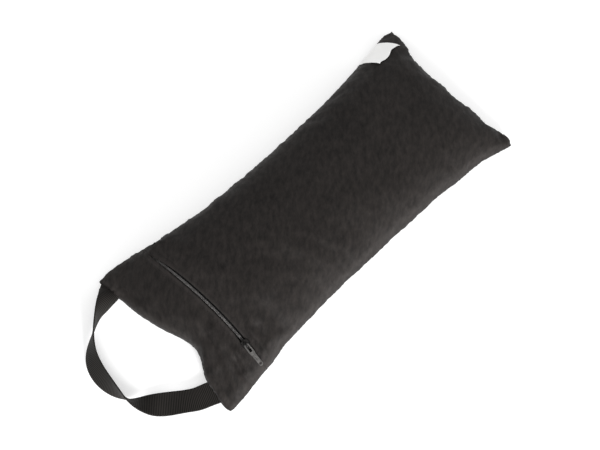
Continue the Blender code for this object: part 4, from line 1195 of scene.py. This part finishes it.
pull = {
    "length": 27 * mm, "thickness": 1.2 * mm, "play": 0.45 * mm, "bar": 1.2 * mm, "window": 9 * mm,
    "windowHalf": 1.4 * mm, "forkHalf": 2.6 * mm, "flareHalf": 2.9 * mm, "bodyHalf": 2.2 * mm,
    "tipHalf": 2.2 * mm, "edge": 0.22 * mm, "hole": 1.4 * mm, "holeInset": 2.7 * mm, "corner": 1.6 * mm,
    "endShare": 0.55, "windowSquare": 5, "panel": (-12.4 * mm, -19 * mm), "panelHalf": 1.1 * mm,
    "panelDepth": 0.28 * mm, "swivel": math.radians(-6),
}


def slotCutter(near, far, half, low, high, power=2):
    # an upright slot along y, with round ends or, at a high power, nearly square ones
    shape = bmesh.new()
    bmesh.ops.create_circle(shape, cap_ends=True, segments=24, radius=half)
    middle, reach = (near + far) / 2, abs(near - far) / 2 - half
    for vert in shape.verts:
        out = squareness(math.atan2(vert.co.y, vert.co.x), power)
        y = vert.co.y * out
        vert.co = Vector((vert.co.x * out, middle + y + math.copysign(reach, y), low))
    raiseFaces(shape, high - low)
    return shape


def buildPull():
    # a fork round the bail, a slot behind it, a sunk panel and a hole at the tip
    half, start, end = pull["thickness"] / 2, pull["bar"] / 2, pull["bar"] / 2 - pull["length"]
    shape = bmesh.new()

    def width(y):
        if y > -pull["window"]:
            return mix(pull["forkHalf"], pull["flareHalf"], smoothStep(-y / pull["window"]))
        share = (y + pull["window"]) / (end + pull["window"])
        side = mix(pull["flareHalf"], pull["bodyHalf"], smoothStep(share * 3))
        return mix(side, pull["tipHalf"], smoothStep((share - 0.7) / 0.3))

    def place(row, column):
        y = mix(start, end, (1 - math.cos(math.pi * row)) / 2)
        near = min(1.0, min(start - y, y - end) / pull["corner"])
        rounded = math.sqrt(max(0.0, 1 - (1 - near) ** 2))
        return Vector(((2 * column - 1) * width(y) * max(pull["endShare"], rounded), y, -half))

    addGrid(shape, 6, 30, place)
    raiseFaces(shape, 2 * half)
    piece = newObject("pull_tab", shape)
    tip = end + pull["holeInset"]
    through = (-2 * half, 2 * half)
    cutters = [slotCutter(-start, -pull["window"], pull["windowHalf"], *through, pull["windowSquare"]),
               slotCutter(tip - pull["hole"], tip + pull["hole"], pull["hole"], *through)]
    for low, high in ((half - pull["panelDepth"], 2 * half), (-2 * half, pull["panelDepth"] - half)):
        cutters.append(slotCutter(*pull["panel"], pull["panelHalf"], low, high))
    combine(piece, cutters, "DIFFERENCE", pull["edge"])
    axisUp = slider["plateUp"] + slider["plate"] + pull["play"] + half
    turn = Matrix.Translation((0, 0, axisUp)) @ Matrix.Rotation(pull["swivel"], 4, "Z")
    piece.data.transform(zipFrame(sliderPlace) @ turn)
    finishPiece(piece, gunmetal, "pull")
    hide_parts("zip_pull")


buildTapes()
buildCoil()
buildSlider()
buildPull()
for nodeName in ("zip_top_stop_far", "zip_top_stop_near", "zip_bottom_stop"):
    castCopy(nodeName.replace("zip_", "metal_"), nodeName, blackMetal, "bag", 0.3 * mm)
print("zip done")


# Thread: the topstitching along the zip and the bars at its ends

thread = {
    "length": 2.2 * mm, "pitch": 2.9 * mm, "radius": 0.2 * mm, "sunk": 0.35, "fromEdge": 3.4 * mm,
    "inset": 3 * mm, "ahead": 1 * mm, "tackStep": 0.75 * mm, "tackHalf": 5, "tackPast": 4.5 * mm,
    "tackIn": 0.5 * mm,
    "deep": (0.004, 0.0036, 0.0034, 1), "lit": (0.018, 0.0165, 0.0155, 1),
}


def makeThread():
    material, tree, shader = newMaterial("black thread", Specular_IOR_Level=0.25)
    fibre = noiseNode(tree, objectPlace(tree), 3500, 2)
    colour = mixColour(tree, fibre, thread["deep"], thread["lit"])
    setSurface(tree, shader, colour, rampNode(tree, fibre, 0, 1, 0.5, 0.75))
    setBump(tree, shader, fibre, 0.05 * mm, 0.6)
    return material


threadCloth = makeThread()


def onCover(across, along):
    # the cover's surface over a place on the zip
    above = zipPoint(across + zipBow(along), along, 12 * mm)
    below = zipPoint(across + zipBow(along), along, -6 * mm)
    hit = coverTree.ray_cast(above, (below - above).normalized(), 0.03)
    return (hit[0], hit[1]) if hit[0] else (None, None)


def addStitch(shape, middle, normal, direction):
    side = direction.cross(normal).normalized()
    turn = Matrix((direction, side, normal)).transposed().to_4x4()
    scale = Matrix.Diagonal((thread["length"] / 2, thread["radius"], thread["radius"], 1))
    matrix = Matrix.Translation(middle + normal * thread["radius"] * thread["sunk"]) @ turn @ scale
    bmesh.ops.create_uvsphere(shape, u_segments=6, v_segments=5, radius=1, matrix=matrix)


def buildStitches():
    # a row of stitches along each side of the zip, and a bar tack at each end
    shape = bmesh.new()
    first, reach = -tapeHalf + thread["inset"], zipShape["mouthHalf"] + thread["fromEdge"]
    count = int(2 * (tapeHalf - thread["inset"]) / thread["pitch"])
    places = [first + index * thread["pitch"] for index in range(count + 1)]
    spots = [(side * reach, along) for side in (-1, 1) for along in places]
    for along in (-tapeHalf - thread["tackPast"], tapeHalf - thread["tackIn"]):
        for index in range(-thread["tackHalf"], thread["tackHalf"] + 1):
            spots.append((index * thread["tackStep"], along))
    for across, along in spots:
        spot, normal = onCover(across, along)
        ahead, _ = onCover(across, along + thread["ahead"])
        if spot and ahead:
            addStitch(shape, spot, normal, (ahead - spot).normalized())
    piece = newObject("zip_stitching", shape)
    finishPiece(piece, threadCloth, "bag")


buildStitches()
print("stitching done")


# Webbing handle, one length with both ends sewn into the end seam

handle = {
    "width": 25 * mm, "thickness": 1.6 * mm, "rib": 1.75 * mm, "ribHeight": 0.16 * mm, "stepsPerRib": 4,
    "across": 22, "tuck": 9 * mm, "tuckSteps": 60, "reach": 3.8 * mm, "straight": 4 * mm, "soften": 9,
    "insetLeft": 18.3 * mm, "insetRight": 28.3 * mm,
    "slantLeft": math.radians(22.8), "slantRight": math.radians(-24.7),
    "pinch": 0.15, "pinchAt": 10 * mm, "pinchReach": 9 * mm, "selvedge": 0.93, "selvedgeHeight": 0.12 * mm,
    # deep and lit: the webbing's black, with painted light on the ribs' crests and painted shade in their
    # hollows
    "ribEnd": 0.86, "warp": 1.5 * mm, "deep": (0.0006, 0.0005, 0.0004, 1), "lit": (0.0265, 0.0235, 0.0210, 1),
}
# from the left root to the right: out from the end, y, lower edge's height, roll
handleRoute = [
    (16.5, 77.6, 1.7, 47), (28.2, 72.3, 1.2, 80), (47.3, 59.2, 1.9, 102), (66.6, 39.2, 1.5, 128),
    (71.5, -4.2, 1.6, 109), (63.3, -29.1, 1.2, 52), (45.6, -46.2, 4.4, 2), (26.2, -60.9, 4.9, 9),
    (15.8, -67.0, 4.7, 3),
]
rootYLeft = bagShape["cornerWidth"] / 2 - handle["insetLeft"]
rootYRight = handle["insetRight"] - bagShape["cornerWidth"] / 2


def rootPoint(y):
    x = planPoint(-1, y / halfWidth(-1))[0] - handle["reach"]
    return Vector((x, y, bagShape["cornerSeamZ"]))


rootLeft, rootRight = rootPoint(rootYLeft), rootPoint(rootYRight)
foldLine = (rootLeft - rootRight).normalized()
inward = foldLine.cross(Vector((0, 0, 1)))


def splineRows(knots, count):
    # a natural cubic spline through rows of numbers
    knots = np.array(knots, dtype=float)
    spans = np.linalg.norm(np.diff(knots[:, :3], axis=0), axis=1)
    places = np.concatenate([[0], np.cumsum(spans)])
    size = len(knots)
    system = np.eye(size)
    right = np.zeros(knots.shape)
    for k in range(1, size - 1):
        before, after = spans[k - 1], spans[k]
        system[k, k - 1:k + 2] = before, 2 * (before + after), after
        right[k] = 6 * ((knots[k + 1] - knots[k]) / after - (knots[k] - knots[k - 1]) / before)
    bend = np.linalg.solve(system, right)
    rows = []
    for place in np.linspace(0, places[-1], count + 1):
        k = min(size - 2, int(np.searchsorted(places, place, side="right")) - 1)
        span, low, high = spans[k], places[k + 1] - place, place - places[k]
        value = (bend[k] * low ** 3 + bend[k + 1] * high ** 3) / (6 * span)
        value += (knots[k] / span - bend[k] * span / 6) * low
        value += (knots[k + 1] / span - bend[k + 1] * span / 6) * high
        rows.append(value)
    return rows


def handlePath():
    # centres, rolls and places along the webbing, evenly spaced from the left end, and its length
    slants = handle["slantLeft"], handle["slantRight"]
    outLeft, outRight = (Matrix.Rotation(slant, 3, "Z") @ -inward for slant in slants)

    def knot(spot):
        return spot.x, spot.y, spot.z - handle["thickness"] / 2, 0

    knots = [knot(rootLeft)]
    for out, y, lower, roll in handleRoute:
        knots.append((-halfLength - out * mm, y * mm, lower * mm, roll))
    knots += [knot(rootRight + outRight * handle["straight"]), knot(rootRight)]
    centres, rolls = [], []
    for x, y, lower, roll in splineRows(knots, 1500):
        roll = math.radians(roll)
        rise = handle["width"] * abs(math.sin(roll)) + handle["thickness"] * abs(math.cos(roll))
        centres.append(Vector((x, y, max(0.0, lower) + rise / 2)))
        rolls.append(roll)
    tuck = np.linspace(handle["tuck"] + handle["reach"], 0, handle["tuckSteps"])[:-1]
    centres = [rootLeft - outLeft * step for step in tuck] + centres
    centres += [rootRight - outRight * step for step in reversed(tuck)]
    rolls = [0.0] * len(tuck) + rolls + [0.0] * len(tuck)
    lengths = np.concatenate([[0], np.cumsum([(b - a).length for a, b in zip(centres, centres[1:])])])
    total = float(lengths[-1])
    count = round(total / handle["rib"]) * handle["stepsPerRib"]
    table = np.array([tuple(c) for c in centres])
    wanted = np.linspace(0, total, count + 1)
    even = np.stack([np.interp(wanted, lengths, table[:, k]) for k in range(3)], axis=1)
    kernel = np.ones(handle["soften"]) / handle["soften"]
    reach = handle["soften"] // 2
    for axis in range(3):
        padded = np.pad(even[:, axis], reach, mode="edge")
        soft = np.convolve(padded, kernel, mode="valid")
        even[reach + 1:-reach - 1, axis] = soft[reach + 1:-reach - 1]
    return even, np.interp(wanted, lengths, rolls), wanted, total


def makeWebbing():
    material, tree, shader = newMaterial("webbing", Sheen_Weight=0.02, Sheen_Roughness=0.4,
                                         Specular_IOR_Level=0.12)
    place = clothPlace(tree)
    scaled = stretched(tree, place, (2 * math.pi / handle["rib"], 2 * math.pi / handle["warp"], 1))
    parts = addNode(tree, "ShaderNodeSeparateXYZ", None, i0=scaled)
    rib = mathNode(tree, "COSINE", parts.outputs[0])
    warp = mathNode(tree, "SINE", parts.outputs[1])
    cell = plus(tree, times(tree, times(tree, rib, warp), 0.3), 0.5)
    marks = useGroup(tree, patchGroup, Place=objectPlace(tree), Size=30 * mm, Edge=0.6)
    fibre = noiseNode(tree, place, 2600, 3)
    # the ribs' light crests and dark hollows are painted light and shade, in step with the ribs' relief
    level = addedUp(tree, 0.0, (rib, 0.75), (fibre, 0.5), (marks.outputs["Shade"], 0.25))
    colour = mixColour(tree, level, handle["deep"], handle["lit"])
    setSurface(tree, shader, colour, rampNode(tree, fibre, 0.3, 0.7, 0.58, 0.82))
    setBump(tree, shader, plus(tree, cell, times(tree, fibre, 0.5)), 0.12 * mm, 0.8)
    return material


def buildHandle():
    even, rolls, wanted, total = handlePath()
    count = len(even) - 1
    frames = []
    for k in range(count + 1):
        along = Vector(even[min(count, k + 2)] - even[max(0, k - 2)]).normalized()
        level = along.cross(Vector((0, 0, 1))).normalized()
        wide = level * math.cos(rolls[k]) + level.cross(along) * math.sin(rolls[k])
        frames.append((Vector(even[k]), wide, wide.cross(along)))
    shape = bmesh.new()
    across = handle["across"]
    around = 2 * across
    halfWide, halfThick = handle["width"] / 2, handle["thickness"] / 2
    spread = math.pi / 2 * 0.98

    def section(angle):
        # across the webbing and back, with rounded selvedges
        step = round(angle * around) % around
        top = step <= across
        share = step / across if top else (around - step) / across
        x = math.sin((1 - 2 * share) * spread) / math.sin(spread)
        past = max(0.0, (abs(x) - handle["selvedge"]) / (1 - handle["selvedge"]))
        return x, (1 if top else -1) * max(0.0, 1 - past ** 2.2) ** 0.5

    def place(ring, angle):
        k = round(ring * count)
        middle, wide, thick = frames[k]
        x, z = section(angle)
        away = wanted[k] - handle["tuck"] - handle["reach"] - handle["pinchAt"]
        pinch = handle["pinch"] * bellCurve(away, handle["pinchReach"])
        arch = math.sqrt(0.375 * pinch * (1 - pinch)) * handle["width"] * (1 - x * x)
        wave = math.cos(2 * math.pi * wanted[k] / handle["rib"]) * handle["ribHeight"] / 2
        wave *= 1 - clamp((abs(x) - handle["ribEnd"]) / 0.06)
        selvedge = handle["selvedgeHeight"] * bellCurve((abs(x) - handle["selvedge"]) * halfWide / mm, 0.6)
        height = z * (halfThick - handle["ribHeight"] / 2 + selvedge)
        if abs(z) > 0.5:
            height += math.copysign(wave, z)
        return middle + wide * x * halfWide * (1 - pinch) + thick * (height + arch)

    def flat(ring, angle):
        return wanted[round(ring * count)], section(angle)[0] * halfWide

    addGrid(shape, around, count, place, flat)
    bmesh.ops.remove_doubles(shape, verts=shape.verts, dist=1e-6)
    bmesh.ops.holes_fill(shape, edges=[edge for edge in shape.edges if edge.is_boundary])
    bmesh.ops.recalc_face_normals(shape, faces=shape.faces)
    piece = newObject("webbing_handle", shape)
    finishPiece(piece, makeWebbing())
    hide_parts("handle_strap", "handle_root_left", "handle_root_right")
    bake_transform(piece)
    print("handle done:", len(piece.data.polygons), "faces,", round(total / mm), "mm of webbing")


buildHandle()


# Blank satin label, sewn into the left side seam and turned up over the top

label = {
    "seamFar": 190.5 * mm, "seamNear": 156 * mm, "topFar": (199.5 * mm, 72 * mm),
    "topNear": (163.5 * mm, 62.6 * mm), "thickness": 0.22 * mm, "rows": 64, "columns": 44,
    "width": 40 * mm, "length": 36 * mm,
    "lift": 0.45 * mm, "curl": 0.9 * mm, "corner": 1.4 * mm, "uneven": 0.3 * mm, "freeFrom": 0.45,
    "shade": (0.92, 0.917, 0.905, 1), "lit": (0.95, 0.95, 0.94, 1), "thread": (0.85, 0.84, 0.82, 1),
}


def makeSatin():
    material, tree, shader = newMaterial("white satin", Sheen_Weight=0.2, Specular_IOR_Level=0.5,
                                         Anisotropic=0.4)
    place = clothPlace(tree)
    fine = noiseNode(tree, stretched(tree, place, (500, 5200, 1)), 1.0, 2)
    marks = useGroup(tree, patchGroup, Place=place, Size=14 * mm, Edge=0.2)
    colour = mixColour(tree, marks.outputs["Shade"], label["shade"], label["lit"])
    colour = mixColour(tree, times(tree, fine, 0.2), colour, label["thread"])
    setSurface(tree, shader, colour, rampNode(tree, fine, 0.3, 0.7, 0.38, 0.55))
    setBump(tree, shader, fine, 0.03 * mm, 0.6)
    return material


def buildLabel():
    shape = bmesh.new()

    def place(row, column):
        reach = column ** 1.3
        seamX = mix(label["seamFar"], label["seamNear"], row)
        topX, topY = (mix(far, near, row) for far, near in zip(label["topFar"], label["topNear"]))
        u, v = locate(mix(seamX, topX, reach), mix(planPoint(seamX / halfLength, 1)[1], topY, reach))
        base = settled(Vector((*planPoint(u, v), topHeight(u, v))), u, v)
        outside = settled(Vector((*planPoint(u, v, -8 * mm), topHeight(u, v, -8 * mm))), u, v)
        found = coverTree.ray_cast(outside + (outside - base) * 0.5, (base - outside).normalized(), 0.04)
        spot, normal = (found[0], found[1]) if found[0] else (base, (outside - base).normalized())
        free = smoothStep((reach - label["freeFrom"]) / (1 - label["freeFrom"]))
        wave = 0.5 + 0.5 * math.sin(row * 6.0 + 0.8)
        up = label["lift"] + label["curl"] * free * (0.35 + 0.5 * wave)
        up += label["corner"] * smoothStep((row - 0.75) * 4) * free
        up += label["uneven"] * noise.noise(Vector((row * 5, column * 4, 1.0)))
        return spot + normal * up

    def flat(row, column):
        return row * label["width"], column * label["length"]

    made = addGrid(shape, label["columns"], label["rows"], place, flat)
    for _ in range(2):
        bmesh.ops.smooth_vert(shape, verts=[vert for vert in made if not vert.is_boundary], factor=0.5,
                              use_axis_x=True, use_axis_y=True, use_axis_z=True)
    turnUp(shape, shape.faces)
    area = sum(face.calc_area() for face in shape.faces)
    piece = newObject("satin_label", shape)
    addSolidify(piece, label["thickness"], 1.0)
    finishPiece(piece, makeSatin(), "bag")
    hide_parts("care_label")
    print("label done, area", round(area * 1e6), "square mm")


buildLabel()


# Inside: the lining bag, its hook and loop strips and the sand

inside = {
    "extra": 2.6 * mm, "linerDepth": 1.8 * mm, "liner": 0.6 * mm, "strip": 1.2 * mm, "gap": 0.3 * mm,
    "mouthInset": 15 * mm, "stripInset": 1.1 * mm, "stripLength": 16 * mm, "stripV": 0.78,
    "flatMargin": 6 * mm, "opening": 55 * mm, "sandMargin": 12 * mm, "sandDepth": 2.75 * mm,
    "sandClear": 0.35 * mm, "rows": 110, "columns": 56, "uneven": 0.5 * mm, "grain": 0.35 * mm,
    "cloth": 0.5 * mm,
    "linerLook": ((0.018, 0.018, 0.019, 1), (0.042, 0.042, 0.044, 1), 0.7 * mm, 0.78),
    "stripLook": ((0.010, 0.010, 0.010, 1), (0.034, 0.034, 0.034, 1), 1.6 * mm, 0.92),
    "sandDeep": (0.30, 0.22, 0.13, 1), "sandLit": (0.60, 0.50, 0.36, 1),
}
mouthX = inside["mouthInset"] - halfLength
stripStartX = mouthX + inside["stripInset"]
stripEndX = stripStartX + inside["stripLength"]
pinchEndX = stripEndX + inside["flatMargin"]
pinchStartX = pinchEndX + inside["opening"]


def innerPoint(u, v, depth, side, level):
    x, y = planPoint(u, v, depth)
    seam = seamHeight(u, v)
    height = topHeight(u, v, depth) if side > 0 else freeBottom(u, v, depth)
    pinch = smoothStep((pinchStartX - x) / (pinchStartX - pinchEndX))
    flat = side * level * min(1.0, (1 - abs(v)) * 8)
    return Vector((x, y, seam + mix(height - seam, flat, pinch)))


def makeInnerCloth(name, low, high, pitch, roughness):
    material, tree, shader = newMaterial(name, Specular_IOR_Level=0.3)
    weave = useGroup(tree, twillGroup, Place=objectPlace(tree), Pitch=pitch, Slub=0.3)
    yarn = weave.outputs["Yarn"]
    colour = mixColour(tree, yarn, low, high)
    setSurface(tree, shader, colour, rampNode(tree, yarn, 0, 1, roughness, roughness - 0.12))
    setBump(tree, shader, weave.outputs["Height"], 0.08 * mm, 0.7)
    return material


def makeSandLook():
    material, tree, shader = newMaterial("dry sand", Specular_IOR_Level=0.3)
    place = objectPlace(tree)
    grains = addNode(tree, "ShaderNodeTexVoronoi", {"feature": "F1"}, Vector=place, Scale=1400)
    tint = addNode(tree, "ShaderNodeSeparateColor", None, i0=grains.outputs["Color"])
    colour = mixColour(tree, tint.outputs[0], inside["sandDeep"], inside["sandLit"])
    setSurface(tree, shader, colour, rampNode(tree, tint.outputs[1], 0, 1, 0.75, 0.98))
    setBump(tree, shader, grains.outputs["Distance"], 0.35 * mm, 0.8)
    return material


def buildFill(name, node, material, depth, start, isSand):
    # the lining bag or the sand, two halves that meet at the seam
    shape = bmesh.new()
    level = inside["gap"] / 2 + inside["strip"] + inside["gap"] + inside["liner"]
    if isSand:
        level -= inside["liner"] + inside["sandClear"]
    for side in (1, -1):
        def place(row, column, side=side):
            u = mix(start, 1.0, row)
            v = 2 * gathered(column) - 1
            point = innerPoint(u, v, depth + inside["extra"], side, level)
            inner = min((1 - abs(v)) * 12, (1 - u) * 14, 1.0)
            bump = inside["uneven"] * (1 + noise.noise(point * 55))
            if isSand:
                bump += inside["grain"] * noise.noise(point * 210)
            return point - Vector((0, 0, side * bump * inner * clamp((u - start) * 10)))
        addGrid(shape, inside["columns"], inside["rows"], place)
    bmesh.ops.remove_doubles(shape, verts=shape.verts, dist=0.02 * mm)
    if isSand:
        bmesh.ops.holes_fill(shape, edges=[edge for edge in shape.edges if edge.is_boundary])
    bmesh.ops.recalc_face_normals(shape, faces=shape.faces)
    piece = newObject(name, shape)
    if not isSand:
        addSolidify(piece, inside["cloth"])
    finishPiece(piece, material, "bag")
    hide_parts(node)


def buildInside():
    linerCloth = makeInnerCloth("lining cloth", *inside["linerLook"])
    stripCloth = makeInnerCloth("hook and loop", *inside["stripLook"])
    sandStart = locate(pinchEndX + inside["sandMargin"], 0)[0]
    linerStart = mouthX / halfLength
    buildFill("lining_bag", "liner_bag", linerCloth, inside["linerDepth"], linerStart, False)
    buildFill("loose_sand", "sand_fill", makeSandLook(), inside["sandDepth"], sandStart, True)
    for name, node, side in (("hook_strip", "liner_hook_strip", 1), ("loop_strip", "liner_loop_strip", -1)):
        shape = bmesh.new()

        def place(row, column, side=side):
            u = mix(stripStartX, stripEndX, row) / halfLength
            v = (2 * column - 1) * inside["stripV"]
            return innerPoint(u, v, inside["linerDepth"] + inside["liner"], side, inside["gap"] / 2)

        addGrid(shape, 70, 10, place)
        bmesh.ops.recalc_face_normals(shape, faces=shape.faces)
        turnUp(shape, shape.faces, -side)
        piece = newObject(name, shape)
        addSolidify(piece, inside["strip"])
        finishPiece(piece, stripCloth, "bag")
        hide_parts(node)


buildInside()
print("inside done")


# Floor, light and camera

stageLook = {
    "azimuth": -44.2, "elevation": 68.6, "distance": 1.2, "aim": (-0.0282, -0.0069, 0.0204), "lens": 67.5,
    "floor": 0.8, "glow": 0.38, "worldLevel": 0.85, "lampPlace": (-0.66, -1.475, 0.52), "lampSize": 0.6,
    "lampPower": 46,
}


def seenDirectly(tree):
    # 1 for what the camera, a reflection or glass sees, and 0 for the light it gives
    path = tree.nodes.new("ShaderNodeLightPath")
    seen = mathNode(tree, "MAXIMUM", path.outputs["Is Camera Ray"], path.outputs["Is Glossy Ray"])
    return mathNode(tree, "MAXIMUM", seen, path.outputs["Is Transmission Ray"])


def placeLooking(name, data, place, direction):
    holder = bpy.data.objects.new(name, data)
    holder.location = place
    holder.rotation_mode = "QUATERNION"
    holder.rotation_quaternion = direction.to_track_quat("-Z", "Y")
    bpy.context.scene.collection.objects.link(holder)
    return holder


def buildStage():
    shape = bmesh.new()
    bmesh.ops.create_grid(shape, x_segments=1, y_segments=1, size=6)
    floor = newObject("floor", shape)
    material, tree, shader = newMaterial("pale floor", Roughness=0.9, Specular_IOR_Level=0.0)
    shader.inputs["Base Color"].default_value = grey(stageLook["floor"])
    strength = times(tree, seenDirectly(tree), stageLook["glow"])
    glow = addNode(tree, "ShaderNodeEmission", None, Color=(1, 1, 1, 1), Strength=strength)
    both = addNode(tree, "ShaderNodeAddShader", None, i0=shader.outputs[0], i1=glow.outputs[0])
    tree.links.new(both.outputs[0], tree.nodes["Material Output"].inputs["Surface"])
    floor.data.materials.append(material)

    world = bpy.data.worlds.new("studio")
    world.use_nodes = True
    tree = world.node_tree
    level = times(tree, seenDirectly(tree), 1 - stageLook["worldLevel"])
    background = tree.nodes["Background"]
    background.inputs["Color"].default_value = (1, 1, 1, 1)
    tree.links.new(plus(tree, level, stageLook["worldLevel"]), background.inputs["Strength"])
    bpy.context.scene.world = world

    # a large soft lamp, low on the right of the picture
    lamp = bpy.data.lights.new("key", "AREA")
    lamp.shape = "DISK"
    lamp.size = stageLook["lampSize"]
    lamp.energy = stageLook["lampPower"]
    placeLooking("key", lamp, stageLook["lampPlace"], -Vector(stageLook["lampPlace"]))


def buildCamera():
    azimuth, elevation = math.radians(stageLook["azimuth"]), math.radians(stageLook["elevation"])
    level = math.cos(elevation)
    back = Vector((math.sin(azimuth) * level, -math.cos(azimuth) * level, math.sin(elevation)))
    lens = bpy.data.cameras.new("camera")
    lens.lens = stageLook["lens"]
    lens.sensor_width = 36
    camera = placeLooking("camera", lens, Vector(stageLook["aim"]) + back * stageLook["distance"], -back)
    bpy.context.scene.camera = camera


buildStage()
buildCamera()
bpy.context.scene.view_settings.view_transform = "Standard"
